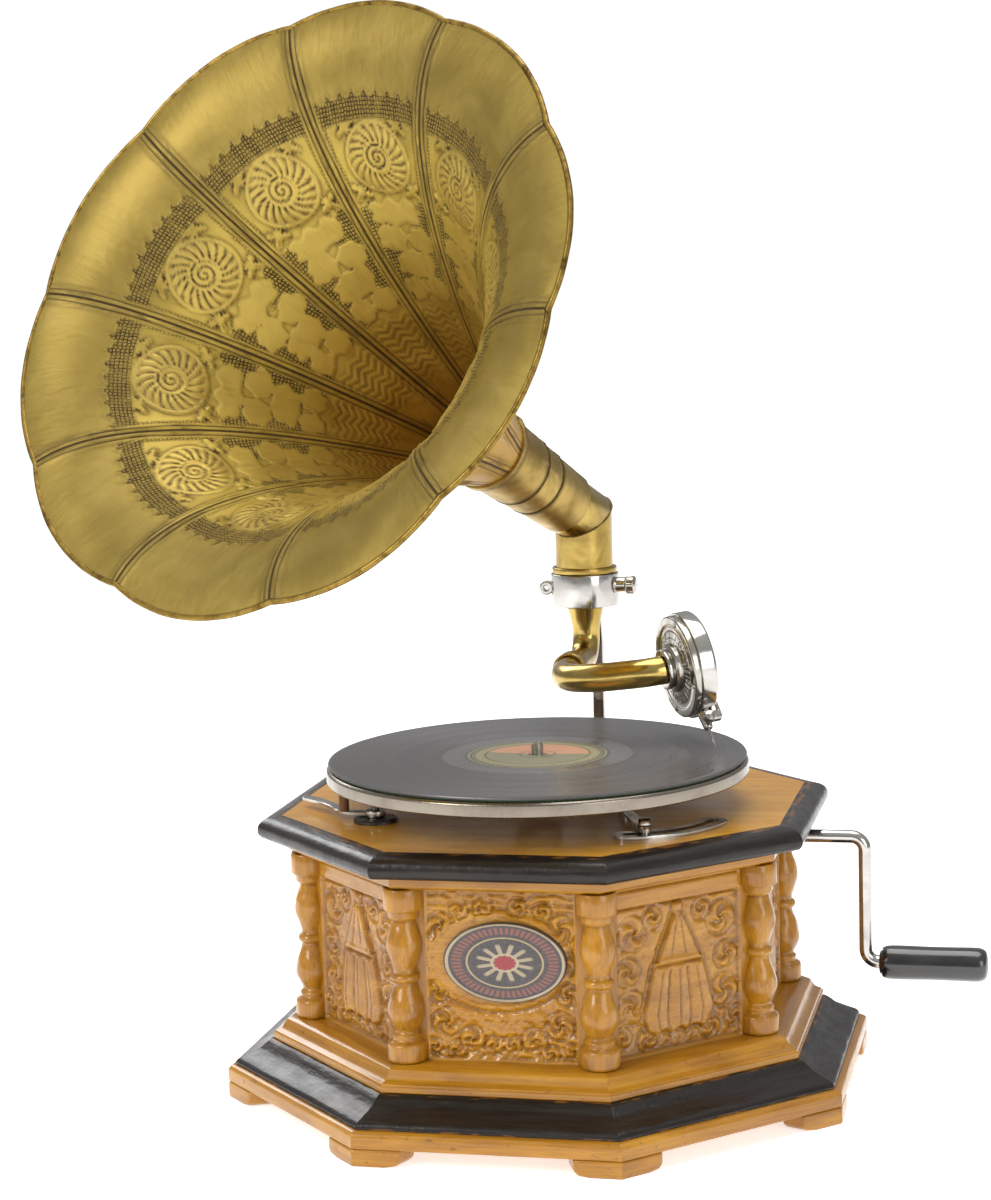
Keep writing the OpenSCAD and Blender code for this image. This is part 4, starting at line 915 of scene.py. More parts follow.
def front_relief(y, z, seed):
    """Front panel: banks of carved leaves above and below a smoothed oval field for the badge."""
    flat = np.stack([y, z], -1)
    gouge = ripple(flat, 7.0, seed) * 0.25 + ripple(flat, 2.8, seed + 1) * 0.15
    leaves = np.zeros_like(y)
    for hand in (-1, 1):
        for cy, cz, size, lobes in (
            (35, 78, 9, 3), (24, 88, 6, 2), (10, 90, 6, 2), (36, 58, 7, 3), (38, 40, 7, 3), (33, 22, 9, 3),
            (18, 13, 8, 2), (5, 10, 6, 2), (27, 6, 6, 2), (40, 8, 5, 2),
        ):
            leaves += scroll(y * hand, z, cy, cz, size, lobes, 1)
    banks = step(30, 22, z) + step(76, 84, z) + step(24, 32, np.abs(y))
    lines = 0.45 * np.sin(z * 1.35 + 1.5 * np.sin(y * 0.16) + ripple(flat, 18.0, seed + 5) * 2.0)
    strips = np.clip(step(20, 12, z) + step(84, 90, z), 0, 1)
    ground = -1.1 + 1.15 * leaves * np.clip(banks, 0, 1) + gouge * 1.7 + lines * strips
    oval = np.hypot((y + BADGE_X) / 39.5, (z - (BADGE_Z - WALL_Z)) / 27.0)
    field = np.where(oval < 1, -0.5 + gouge * 0.8, ground)
    field += 0.9 * ridge((oval - 1.02) * 30, 1.5) - 0.9 * ridge((oval - 1.12) * 30, 1.2)
    shelf = step(-1.2, 1.2, 30 - np.abs(y)) * ridge(z - 26.5, 3.2)
    field += 0.9 * shelf
    border = step(43.2, 41.6, np.abs(y)) * step(0.6, 2.4, z)
    return np.clip(field, -3.4, 1.0) * border


def carved_panel(name, side, node, relief, seed):
    width, height, cell = 86.74, WALL_HEIGHT, 0.72
    cols, rows = int(width / cell), int(height / cell)
    y, z = np.meshgrid(np.linspace(-width / 2, width / 2, cols), np.linspace(0, height, rows))
    field = relief(y, z, seed)
    # Darker in the carving's hollows and deepest ground: part stain, part painted shade
    hollow = np.clip((blur(field, 12) - field) * 1.2 + (blur(field, 3) - field) * 3.0, 0, 1)
    hollow = np.clip(hollow + np.clip(-field - 1.6, 0, 1) * 0.22, 0, 1)
    front = np.stack([WALL_FACE + field, y, z + WALL_Z], -1).reshape(-1, 3)
    rim = np.concatenate(
        [
            np.arange(cols),
            np.arange(1, rows) * cols + cols - 1,
            (rows - 1) * cols + np.arange(cols - 2, -1, -1),
            np.arange(rows - 2, 0, -1) * cols,
        ]
    )
    back = front[rim].copy()
    back[:, 0] = WALL_FACE - 9
    count = len(front)
    faces = grid(rows, cols)
    n = len(rim)
    faces += [[rim[i], rim[(i + 1) % n], count + (i + 1) % n, count + i] for i in range(n)]
    faces.append([count + i for i in range(n)][::-1])
    points = np.concatenate([front, back])
    turn = turn_about("Z", 45 * side)
    marks = {"stain_and_shade": np.concatenate([hollow.ravel(), np.zeros(n)])}
    build(name, (moved(points, turn), faces), HONEY, "case", node, 60, side % 8, marks)


carved_panel("front_panel_carving", 6, "front_panel", front_relief, 101)
carved_panel("crank_panel_carving", 0, "crank_panel", tent_relief, 111)
for side in (1, 2, 3, 4, 5, 7):
    carved_panel(f"side_panel_carving_{side}", side, "side_panels", tent_relief, 120 + side)


def oval_badge():
    """Domed oval plate with a raised lip, on the front panel."""
    sides, rings = 96, 24
    lip = np.array([0.02, *np.linspace(0.08, 0.9, rings), 0.93, 0.955, 0.985, 1.0, 1.0])
    rise = np.interp(lip, [0, 0.9, 0.93, 0.955, 0.985, 1.0], [3.0, 2.6, 2.7, 3.4, 3.3, 2.7])
    rise[-1] = 0
    angles = np.arange(sides) * TAU / sides
    across = np.outer(lip, np.cos(angles)).ravel()
    up = np.outer(lip, np.sin(angles)).ravel()
    rise = np.repeat(rise, sides)
    points = np.column_stack([BADGE_X + 35.5 * across, -WALL_FACE - rise, BADGE_Z + 23 * up])
    faces = grid(len(lip), sides, False, True)
    faces += [list(range(sides)), list(range((len(lip) - 1) * sides, len(lip) * sides))]
    marks = {
        "reach": np.repeat(lip, sides),
        "spot": np.column_stack([across, up, np.zeros(len(up))]),
    }
    build("name_badge_plate", (points, faces), BADGE, "case", "name_badge", 50, None, marks)


oval_badge()

# Crank bush and its dished brass flange
bush_line = [
    (4.05, 118), (6.5, 118), (6.5, 145.6), (9.4, 145.97), (10, 146.5),
    (9.6, 147.4), (7, 147.97), (4.6, 147.97), (4.05, 147.5),
]
points, faces = turned(bush_line, 64)
points = moved(points, AT_BUSH)
build("crank_flange", (points, faces), TUBE_BRASS, "case", "crank_escutcheon", 40, None,
      {"stain_and_shade": np.zeros(len(points))})

# ---------------------------------------------------------------- horn bracket


def smooth_bar(path, width, depth, bevel=1.0):
    """A flat bar in the Y-Z plane: path of (y, z), width along X and depth across the path."""
    path = smooth_line(path, 6)
    ahead = np.gradient(path, axis=0)
    ahead /= np.linalg.norm(ahead, axis=1, keepdims=True)
    across = np.column_stack([-ahead[:, 1], ahead[:, 0]])
    w, d = width / 2, depth / 2
    section = rounded([(-w, -d), (w, -d), (w, d), (-w, d)], bevel, 3)
    points = []
    for (y, z), (side_y, side_z) in zip(path, across):
        for x, off in section:
            points.append((x, y + side_y * off, z + side_z * off))
    n = len(section)
    faces = grid(len(path), n, False, True)
    faces += [list(range(n))[::-1], list(range((len(path) - 1) * n, len(path) * n))]
    return np.array(points), faces


bar = smooth_bar(
    [
        (135.9, 104), (142, 104.4), (150, 106), (160, 113), (166, 124), (168.4, 138),
        (168.6, 180), (168.4, 232), (166, 250), (160.5, 266), (154, 276), (150.5, 280),
    ],
    8, 7,
)
foot_outline = rounded([(-16, 82), (16, 82), (16, 138), (-16, 138)], 3.0, 4)
foot, foot_faces = slab(foot_outline, [(0, 0), (4.2, 0), (5, 0.8)])
foot = np.column_stack([foot[:, 0], WALL_FACE + foot[:, 2], foot[:, 1]])
ring_line = [(18.55, 276), (18.55, 293), (22, 293), (22, 272), (13.05, 272), (13.05, 276)]
ring, ring_faces = turned(rounded(ring_line, 0.7, 3)[::-1], 96)
ring = ring + np.array([0, PIVOT_Y, 0])
boss, boss_faces = turned(rounded([(2.1, 19), (5, 19), (5, 27), (2.1, 27)], 0.6), 40)
boss = moved(boss, AT_CLAMP)
# Pierced lug on the far side of the ring
lug, lug_faces = turned(rounded([(1.5, -2.2), (4.6, -2.2), (4.6, 2.2), (1.5, 2.2)], 0.7), 36)
lug = moved(lug, shift(-24.6, PIVOT_Y - 4, 283.5) @ turn_about("X", 90))
build("horn_bracket_bar", join(bar, (foot, foot_faces)), CHROME, "case", "rear_bracket", 40)
build("horn_bracket_ring", join((ring, ring_faces), (boss, boss_faces)), CHROME, "case",
      "bracket_ring", 40)
build("horn_bracket_lug", (lug, lug_faces), CHROME, "case", (), 40)


def around(points):
    """Angle of each point round the Z axis, in radians, and its distance from the axis."""
    return np.arctan2(points[:, 1], points[:, 0]), np.hypot(points[:, 0], points[:, 1])


def knurl(points, zone, depth, ridges):
    """Cut grooves along a knob where zone is true."""
    points[:, :2] *= (1 - depth * zone * (np.cos(ridges * around(points)[0]) > 0))[:, None]


def screws(name, spots, head_r, head_h, material, node, body="case"):
    shapes = []
    for matrix in spots:
        points, faces = disc_head(head_r, head_h)
        shapes.append((moved(points, matrix), faces))
    return build(name, join(*shapes), material, body, node, 45)


screws(
    "bracket_screw_heads",
    [
        shift(x, WALL_FACE + 5, z) @ turn_about("X", -90) @ Matrix.Rotation(0.4 + x, 4, "Z")
        for x in (-10, 10)
        for z in (92, 128)
    ],
    4, 2.3, NICKEL, "bracket_screws",
)

# Knurled thumb screw that clamps the elbow
head = turned(rounded([(0.1, 27.6), (6, 27.6), (6, 32.4), (4, 33.9), (0.1, 33.9)], 0.5), 120, False)
knurl(head[0], (head[0][:, 2] > 27.9) & (head[0][:, 2] < 32.3) & (around(head[0])[1] > 5), 0.05, 20)
shank = turned([(0.1, 21.2), (2, 21.2), (2, 27.8), (0.1, 27.8)], 32, False)
points, faces = join(head, shank)
build("clamp_thumb_screw", (moved(points, AT_CLAMP), faces), NICKEL, "clamp_screw", "clamp_screw", 35)

# ---------------------------------------------------------------- horn


def flare(t):
    """Place along the horn's axis and radius of the bell, t from throat to mouth."""
    return THROAT_Z + BELL_LENGTH * (1 - (1 - t) ** 2), THROAT_R + BELL_FLARE * t


def petal_point(k, t, u, out):
    """Point of petal k in the horn's frame: t from throat to mouth, u from seam to seam."""
    z, r = flare(t)
    slope_z, slope_r = 2 * BELL_LENGTH * (1 - t), BELL_FLARE
    length = np.hypot(slope_z, slope_r)
    r = r + SWELL * t**3 * (1 - u * u) + out * slope_z / length
    z = z - out * slope_r / length
    half_petal = 180 / PETALS
    a = np.radians(FIRST_SEAM + (k + 0.5) * 2 * half_petal + u * half_petal)
    return np.stack([r * np.cos(a), r * np.sin(a), z], -1)


def petal_relief(s, w, half, seed):
    """Embossing of a petal, s from the rim and w from its middle: height, netted ground, shine."""
    flat = np.stack([s, w], -1)
    inset = half - np.abs(w)
    part = w / np.maximum(half, 1)
    # Nautilus medallion
    ds = s - 84
    rho, theta = np.hypot(ds, w) + 0.01, np.arctan2(w, ds)
    ribs = np.cos(19 * theta + 0.62 * rho) * step(8.5, 10.5, rho) * step(20.5, 18.5, rho)
    coil = np.cos(TAU * rho / 4.0 - theta) * step(9.2, 7.8, rho)
    medal = 0.36 * ribs + 0.36 * coil + 0.6 * ridge(rho - 21.4, 0.9) + 0.4 * ridge(rho - 9.0, 0.7)
    dome = 1.3 * step(24, 14, rho)
    height = dome + medal * step(24, 22, rho)
    # Leaf corners round the medallion
    for a in (-1, 1):
        for b in (-1, 1):
            la, lb = ds - a * 19.5, w - b * 18.5
            radius, angle = np.hypot(la, lb) + 0.01, np.arctan2(b * lb, a * la)
            leaf = 8.2 * (0.72 + 0.28 * np.cos(4 * angle - 2.6))
            shape = step(leaf, leaf - 1.6, radius) * step(22.2, 23.5, rho)
            veins = 0.7 + 0.4 * np.cos(angle * 6) * step(1, 4, radius)
            height = height + shape * veins * step(3, 6, inset)
    # Thorned, netted band between lip and medallion
    thorn = 4.2 * (1 - np.abs(np.sin(w * math.pi / 8.6 + 0.6 * np.sin(s * 0.5)))) ** 1.3
    arch = 2.5 * part**2
    band_top = 48.5 + arch - thorn + 0.8 * ripple(flat, 9.0, seed)
    band = step(-0.6, 0.6, s - band_top) * step(0.9, -0.9, s - 61 - arch) * step(4.5, 6.0, inset)
    band *= step(22.6, 23.6, rho)
    outline = ridge(s - band_top, 0.8) * step(4, 6, inset)
    height = height + 0.55 * outline - 0.25 * band
    flank = step(61, 64, s) * step(108, 104, s) * step(7.6, 6.8, inset) * step(4.8, 5.6, inset) * 0.7
    # Cloud-shaped smooth islands in a netted field
    islands = np.zeros_like(s)
    for cs, cw, rs, rw in (
        (118, 0.03, 9.6, 0.66), (136, 0.38, 9.6, 0.38), (138, -0.4, 9.2, 0.37), (155, 0.02, 10.2, 0.6),
        (172, 0.4, 9.0, 0.36), (173, -0.38, 9.6, 0.38),
    ):
        along, aside = (s - cs) / rs, (part - cw) / rw
        way = np.arctan2(aside, along)
        lobed = np.hypot(along, aside) - 0.07 * np.cos(7 * way + cs) - 0.06 * np.cos(4 * way + 2 * cs)
        lobed += 0.12 * ripple(flat, 14.0, seed + 11)
        islands = np.maximum(islands, step(1.06, 0.94, lobed))
    field = step(110, 113, s + 2 * np.sin(w * 0.5)) * step(184, 180, s) * step(4.2, 5.4, inset)
    off_middle = step(0.12, 0.4, np.abs(part) + 0.2 * ripple(flat, 20.0, seed + 3))
    net_field = field * (1 - islands) * off_middle
    height = height + field * islands * 0.45
    # Chevrons running down into the throat
    chevron = np.sin((s + 2.6 * np.abs((w / 5.5) % 2 - 1) * 1.6) * TAU / 5.4)
    deep = step(182, 190, s) * step(240, 226, s) * step(2.5, 4, inset)
    height = height + 0.22 * chevron * deep
    shine = np.clip(step(24, 20, rho) * 0.6 + field * islands * 0.35, 0, 1)
    net = np.clip(np.maximum(np.maximum(band, flank), net_field), 0, 1)
    # Folded seam: one bead with a groove each side
    seam = 0.95 * ridge(inset - 1.9, 1.0) + 0.5 * ridge(inset - 4.6, 0.9) - 0.35 * ridge(inset - 3.4, 0.5)
    height = height + seam * step(262, 245, s)
    wobble = 0.35 * ripple(flat, 46.0, seed + 7) + 0.05 * ripple(flat, 7.0, seed + 9)
    return height, net, shine, wobble * step(0, 6, inset) * step(0, 5, s)


def horn_petal(k):
    rows, cols = 196, 76
    fine = np.linspace(0, 1, 2000)
    speed = np.hypot(2 * BELL_LENGTH * (1 - fine), BELL_FLARE)
    travelled = np.concatenate([[0], np.cumsum((speed[1:] + speed[:-1]) / 2 * np.diff(fine))])
    total = travelled[-1]
    t = np.interp(np.linspace(0, total, rows), travelled, fine)
    s_row = total - np.linspace(0, total, rows)
    u, tt = np.meshgrid(np.linspace(-1, 1, cols), t)
    s = np.repeat(s_row[:, None], cols, 1)
    half = flare(tt)[1] * math.pi / PETALS
    w = u * half
    height, net, shine, wobble = petal_relief(s, w, half, 200 + 13 * k)
    hollow = np.clip((blur(height, 3) - height) * 3.0, 0, 1) * step(250, 235, s)
    lift = height + wobble
    inner = petal_point(k, tt, u, -lift)
    outer = petal_point(k, tt, u, 1.2 - lift * 0.92)
    points = np.concatenate([inner.reshape(-1, 3), outer.reshape(-1, 3)])
    n = rows * cols
    front = [f[::-1] for f in grid(rows, cols)]
    back = [[v + n for v in f] for f in grid(rows, cols)]
    edge = [*range(cols), *(row * cols + cols - 1 for row in range(1, rows))]
    edge += [(rows - 1) * cols + col for col in range(cols - 2, -1, -1)]
    edge += [row * cols for row in range(rows - 2, 0, -1)]
    walls = [[a, b, b + n, a + n] for a, b in zip(edge, edge[1:] + edge[:1])]
    coords = np.stack([w + 140 * k, s, half - np.abs(w)], -1).reshape(-1, 3)
    relief = np.stack([net, hollow, shine], -1).reshape(-1, 3)
    faded = relief * np.array([0.55, 0.5, 0.3])
    marks = {"petal": np.concatenate([coords, coords]), "relief": np.concatenate([relief, faded])}
    build(f"horn_petal_{k}", (moved(points, AT_HORN), front + back + walls), BELL, "horn",
          "horn_petals", 55, None, marks, True)


for k in range(PETALS):
    horn_petal(k)

# Wired rim, a little uneven, as rolled by hand
per_petal = 24
rim_path, rim_size = [], []
for i in range(PETALS * per_petal):
    u = 2 * (i % per_petal) / per_petal - 1
    a = FIRST_SEAM + 360 * i / (PETALS * per_petal)
    r = RIM_R + SWELL * (1 - u * u)
    rim_path.append((r * cos(a), r * sin(a), RIM_Z))
    rim_size.append(1.62 + 0.1 * math.sin(i * 0.9) * math.sin(i * 0.37))
points, faces = tube(rim_path, rim_size, 20, None, True)
build("horn_rim_wire", (moved(points, AT_HORN), faces), RIM_BRASS, "horn", "horn_rim", 60)



def wrapped(degrees):
    """The same angles between -180 and 180 degrees."""
    return (degrees + 180) % 360 - 180


# Neck: three rolled cones that overlap at stained joints
outside = []
for start, end, lift in ((25, 62, 0.0), (62, 81, 0.35), (81, 112, 0.8)):
    for d in np.linspace(start, end, 9):
        base = np.interp(d, [25, 112], [20.75, 24.5])
        outside.append((base + lift - 0.55, d))
    outside.append((base + lift + 0.1, end + 0.05))
outside += [(26.2, 112.6), (27, 113.4), (27, 116.6), (26.4, 117)]
inside = [(23.4, 117), (19.75, 47), (19.75, 25)]
neck_line = np.array([(20.2, 25)] + outside + inside)
points, faces = turned(neck_line, 96, True, 0.18, 77)
at_joint = np.zeros(len(neck_line))
for joint in (62, 81, 112.6):
    at_joint = np.maximum(at_joint, ridge(neck_line[:, 1] - joint, 0.9))
stain = np.repeat(at_joint, 96)
spin, far = around(points)
spin, along = np.degrees(spin), points[:, 2]
seam = ridge(wrapped(spin - 140), 3.0)
flap = ridge(wrapped(spin - 98 - 0.5 * (along - 80)), 2.2) * step(70, 72, along) * step(93, 91, along)
skin = far > 20.1
points[:, :2] *= (1 + 0.02 * np.clip(seam + flap, 0, 1) * skin)[:, None]
stain = np.clip(stain + 0.8 * np.clip(seam + flap, 0, 1) * (np.abs(seam - 0.5) < 0.45), 0, 1)
build("horn_neck_cone", (moved(points, AT_HORN), faces), NECK_BRASS, "horn", "horn_neck", 50,
      None, {"stain_and_shade": stain})


def mitred_elbow():
    """Two straight tubes that meet on a slanted joint, and the collar under them."""
    axis = np.array(AT_HORN.to_3x3() @ Vector((0, 0, 1)))
    corner = np.array([0, PIVOT_Y, HORN_Z])
    down = np.array([0, 0, -1.0])
    joint_normal = axis - down
    joint_normal /= np.linalg.norm(joint_normal)
    side = np.cross(down, axis)
    side /= np.linalg.norm(side)
    sides = 96
    angles = np.arange(sides) * TAU / sides

    def ring(radius, way, along=None):
        """Section square to way at a distance along it, or on the mitre where along is None."""
        other = np.cross(way, side)
        circle = radius * (np.outer(np.cos(angles), side) + np.outer(np.sin(angles), other))
        if along is not None:
            return corner + circle + way * along
        slide = -(circle @ joint_normal) / (way @ joint_normal)
        return corner + circle + np.outer(slide, way)

    lower = -down
    bore, foot_end, top_end = 17.3, -50.1, 45
    # Each section with its stain: up the outside, over the mitre, then back down the bore
    sections = [(ring(18.5, lower, along), 0) for along in (foot_end, -44, -36, -28, -20.5)]
    sections += [
        (ring(18.5, lower) - lower * 0.8, 0.2),
        (ring(18.5, lower), 1),
        (ring(18.7, axis) + axis * 0.8, 0.3),
    ]
    sections += [(ring(18.7, axis, along), 0) for along in (22, 30, 38, 44.6)]
    sections.append((ring(18.4, axis, top_end), 0))
    sections += [(ring(bore, axis, along), 0) for along in (top_end, 22)]
    sections += [(ring(bore, axis), 0), (ring(bore, lower, foot_end), 0)]
    shape = np.concatenate([section for section, _ in sections]), grid(len(sections), sides, True, True)
    stains = [stain for _, stain in sections]
    collar_line = rounded([(18.2, 293.3), (21, 293.3), (21, 297.3), (18.2, 297.3)], 0.9)
    collar, collar_faces = turned(collar_line, 96)
    collar = collar + np.array([0, PIVOT_Y, 0])
    stain = np.concatenate([np.repeat(stains, sides), np.zeros(len(collar))])
    build("horn_elbow_tube", join(shape, (collar, collar_faces)), TUBE_BRASS, "elbow",
          "horn_elbow", 35, None, {"stain_and_shade": stain})
    bead = ring(18.6, axis)
    points, faces = tube(bead, 0.55 + 0.12 * np.sin(np.arange(sides) * 0.7), 10, None, True)
    build("horn_elbow_solder", (points, faces), NECK_BRASS, "elbow", (), 60, None,
          {"stain_and_shade": np.full(len(points), 0.75)})


mitred_elbow()

# ---------------------------------------------------------------- tone arm

# Upright: seat in the ring, cone, then a bend to the level run that ends in the swivel sleeve
cone = smooth_line([(ARM_R, 254), (8.9, 257), (9.6, 261.5), (10.7, 266), (11.9, 270.6)], 5)
seat = [(13, 271), (13, 276.3), (17, 276.3), (17, 279.3), (11, 279.3), (11, 272)]
upright = np.vstack([[(ARM_BORE, 254)], cone, seat, [(ARM_BORE, 255)]])
points, faces = turned(upright, 80)
points = points + np.array([0, PIVOT_Y, 0])
cone_shape = points, faces
bend = [(0, PIVOT_Y, 254.2)] + arc((0, PIVOT_Y - 16, 254), (0, PIVOT_Y, 254), (-1, 0, 0), 90, 24)
bend += [(0, y, ARM_Z) for y in (110, 104, 96, 88, 80)]
bend_shape = tube(bend, ARM_R, 64, ARM_BORE)
sleeve_line = rounded([(8.6, -12), (10.75, -12), (10.75, 0), (8.82, 0), (8.82, -8), (8.6, -8)], 0.8, 3)
sleeve, sleeve_faces = turned(sleeve_line, 80)
sleeve = moved(sleeve, shift(0, 72, ARM_Z) @ turn_about("X", 90))
stain = np.concatenate(
    [
        np.repeat(np.where(upright[:, 1] > 270.5, 0.5, 0.0), 80),
        np.zeros(len(bend_shape[0])),
        np.repeat(np.where(sleeve_line[:, 1] < -11, 0.6, 0.0), 80),
    ]
)
build("tone_arm_tube", join(cone_shape, bend_shape, (sleeve, sleeve_faces)), TUBE_BRASS, "tonearm",
      "tonearm_tube", 35, None, {"stain_and_shade": stain})


def gooseneck_path():
    """Centre line of the gooseneck in its own frame, from inside the sleeve to the sound box."""
    heading = -90.0
    path = [np.array([0.0, 79.0])]

    def run(length, pieces):
        for _ in range(pieces):
            path.append(path[-1] + length / pieces * np.array([cos(heading), sin(heading)]))

    def turn(radius, degrees, pieces):
        nonlocal heading
        chord = 2 * radius * sin(degrees / pieces / 2)
        for _ in range(pieces):
            heading += degrees / pieces / 2
            path.append(path[-1] + chord * np.array([cos(heading), sin(heading)]))
            heading += degrees / pieces / 2

    run(79 - 64.89, 4)
    turn(47.72, 80, 26)
    run(15, 3)
    turn(22, 41, 14)
    return [(x, y, 0) for x, y in path]


points, faces = tube(gooseneck_path(), ARM_R, 64, ARM_BORE)
build("gooseneck_tube", (moved(points, AT_GOOSENECK), faces), TUBE_BRASS, "gooseneck",
      "gooseneck", 40, None, {"stain_and_shade": np.zeros(len(points))})

# Sound box back: stepped nickel flanges, a ribbed ring and four small screws
back_line = [
    (7.8, -15.9), (12.0, -15.9), (12.5, -15.4), (12.5, -12.9), (11.6, -12.5), (11.6, -12.1), (12.9, -11.8),
    (13.6, -11.3), (15, -10.8), (15, -8.4), (17.8, -8.2), (18.6, -7.9), (22.2, -7.5), (22.9, -7.0),
    (25.4, -7.0), (26.2, -7.5), (30.4, -7.5), (31.2, -6.9), (31.3, -3), (7.8, -3),
]
points, faces = turned(rounded(back_line, 0.35, 2), 144)
spin, far = around(points)
ribs = (far > 17) & (far < 22.5) & (points[:, 2] < -6)
points[:, 2] += 0.45 * ribs * (np.cos(36 * spin) > 0)
build("soundbox_back_plate", (moved(points, AT_SOUNDBOX), faces), NICKEL, "gooseneck",
      "soundbox_back", 32)
screws(
    "soundbox_back_screws",
    [
        AT_SOUNDBOX @ turn_about("Z", a) @ shift(28.3, 0, -7.45) @ turn_about("X", 180)
        for a in (20, 110, 200, 290)
    ],
    1.7, 0.9, STEEL, (), "gooseneck",
)

rim_line = rounded([(28, -3), (32.5, -3), (32.5, 6), (31, 7.5), (24, 7.5), (24, 4.5), (28, 4.5)], 0.7, 3)
points, faces = turned(rim_line, 180)
# Notch that lets the needle holder through
off_needle = wrapped(np.degrees(around(points)[0]) - NEEDLE_TURN)
notch = (np.abs(off_needle) < 7.5) & (points[:, 2] > -2.5)
points[notch, 2] = -2.6
build("soundbox_rim_ring", (moved(points, AT_SOUNDBOX), faces), CHROME, "gooseneck",
      "soundbox_rim", 32)

# Needle holder, needle and its screw
bar_shape = block((38, 3, 2), (19, 0, 9), 0.5)
chuck_line = rounded([(0.95, 33.2), (3.4, 33.2), (3.5, 35), (2.9, 43.2), (2.4, 44.2), (0.95, 44.2)], 0.5)
chuck, chuck_faces = turned(chuck_line, 40)
chuck = moved(chuck, shift(0, 0, -1) @ LEVEL)
riser = block((6, 5.2, 10.5), (36.6, 0, 4.3), 0.9)
rivet = turned([(0.1, 2.6), (1.6, 2.6), (1.6, 10), (2.1, 10.2), (1.9, 11), (0.1, 11.4)], 32, False)
shape = join(bar_shape, (chuck, chuck_faces), riser, rivet)
build("needle_holder", (moved(shape[0], AT_NEEDLE), shape[1]), NICKEL, "gooseneck",
      "stylus_bar", 35)
points, faces = turned([(0.05, 36), (0.9, 36), (0.9, 51.5), (0.62, 53.6), (0.05, 56.9)], 24, False)
build("needle_pin", (moved(points, AT_STYLUS), faces), STEEL, "gooseneck", "needle", 35)
knob = [(0.1, 0), (1.5, 0), (1.5, 4), (3.2, 4), (3.6, 4.5), (3.6, 8), (3.1, 8.8), (0.1, 9.5)]
points, faces = turned(knob, 72, False)
knurl(points, (points[:, 2] > 4.2) & (points[:, 2] < 8.5), 0.07, 18)
at_screw = AT_NEEDLE @ shift(39.5, -1.3, -1) @ turn_about("X", 90)
build("needle_clamp_screw", (moved(points, at_screw), faces), NICKEL, "needle_screw",
      "needle_screw", 35)

# ---------------------------------------------------------------- turntable

hub_line = [(4.01, 182.3), (13.4, 182.3), (14, 183), (14, 197.3), (122, 197.3), (122, 200.3), (4.01, 200.3)]
points, faces = turned(rounded(hub_line, 0.3, 2), 192)
build("platter_disc", (moved(points, AT_SPINDLE), faces), PLATTER, "turntable",
      "platter", 35)
skirt_line = [(122, 191.5), (125.2, 191.5), (126, 192.3), (126, 198.8), (124.5, 200.3), (122, 200.3)]
points, faces = turned(rounded(skirt_line, 0.6, 3), 256)
build("platter_skirt", (moved(points, AT_SPINDLE), faces), PLATTER, "turntable",
      "platter_rim", 35)

record_hole = 4.05
disc_edge = [(record_hole, 201.3), (123.6, 201.3), (124.6, 201.6)]
disc_edge += [(125, 202.3), (124.6, 203.0), (123.6, 203.3)]
grooves = [(121.5, 203.24)]
grooves += [(radius, 203.2 + 0.02 * math.sin(radius)) for radius in np.arange(120.5, 58, -2.5)]
for gap in (97, 76):
    grooves += [(gap + 0.5, 203.2), (gap, 203.1), (gap - 0.5, 203.2)]
grooves += [(57.5, 203.12), (55, 203.1), (44.5, 203.1), (43.2, 203.25), (42.1, 203.22), (42, 203.1)]
grooves.append((record_hole, 203.1))
grooves.sort(key=lambda point: -point[0])
points, faces = turned(np.array(disc_edge + grooves), 256)
build("record_disc", (moved(points, AT_SPINDLE), faces), RECORD, "turntable", "record", 40, None,
      {"reach": around(points)[1]})

label_line = [(record_hole, 203.1), (42, 203.1), (41.95, 203.26), (41.5, 203.3)]
label_line += [(radius, 203.3) for radius in np.arange(40, 5, -2.0)] + [(record_hole, 203.3)]
points, faces = turned(np.array(label_line), 128)
build("record_label_disc", (moved(points, AT_SPINDLE), faces), LABEL, "turntable",
      "record_label", 40, None, {"reach": around(points)[1], "spot": points})

# ---------------------------------------------------------------- brake and speed hardware

plate_line = [(13 * math.cos(a), 13 * math.sin(a)) for a in np.arange(64) * TAU / 64]
plate = slab(plate_line, [(0, 0), (1.9, 0), (2.5, 0.7)])
post_shape = turned([(0.1, 0), (2.5, 0), (2.5, 11.4), (1.9, 12), (0.1, 12)], 32, False)
shape = join(plate, post_shape)
points = shape[0] + np.array([BRAKE_X, BRAKE_Y, LID_TOP])
build("brake_base_plate", (points, shape[1]), IRON, "case", "brake_plate", 35)
screws(
    "brake_plate_screws",
    [
        shift(BRAKE_X + 9.4 * cos(a), BRAKE_Y + 9.4 * sin(a), LID_TOP + 2.4) @ Matrix.Rotation(a, 4, "Z")
        for a in (35, 155, 275)
    ],
    2.1, 1.1, NICKEL, (),
)


def strap(path, width, low, high, bevel=0.5):
    """A flat strip along a path of (x, y), between two heights, its ends rounded."""
    path = smooth_line(path, 6)
    ahead = np.gradient(path, axis=0)
    ahead /= np.linalg.norm(ahead, axis=1, keepdims=True)
    across = np.column_stack([-ahead[:, 1], ahead[:, 0]])
    half = width / 2
    cap = [path[-1] + half * (ahead[-1] * cos(a) - across[-1] * sin(a)) for a in range(-75, 76, 15)]
    tail = [path[0] + half * (-ahead[0] * cos(a) + across[0] * sin(a)) for a in range(-75, 76, 15)]
    right = [p - half * c for p, c in zip(path, across)]
    left = [p + half * c for p, c in zip(path, across)]
    outline = right + cap[::-1] + left[::-1] + tail[::-1]
    return slab(outline, [(low, 0), (high - bevel, 0), (high, bevel)])


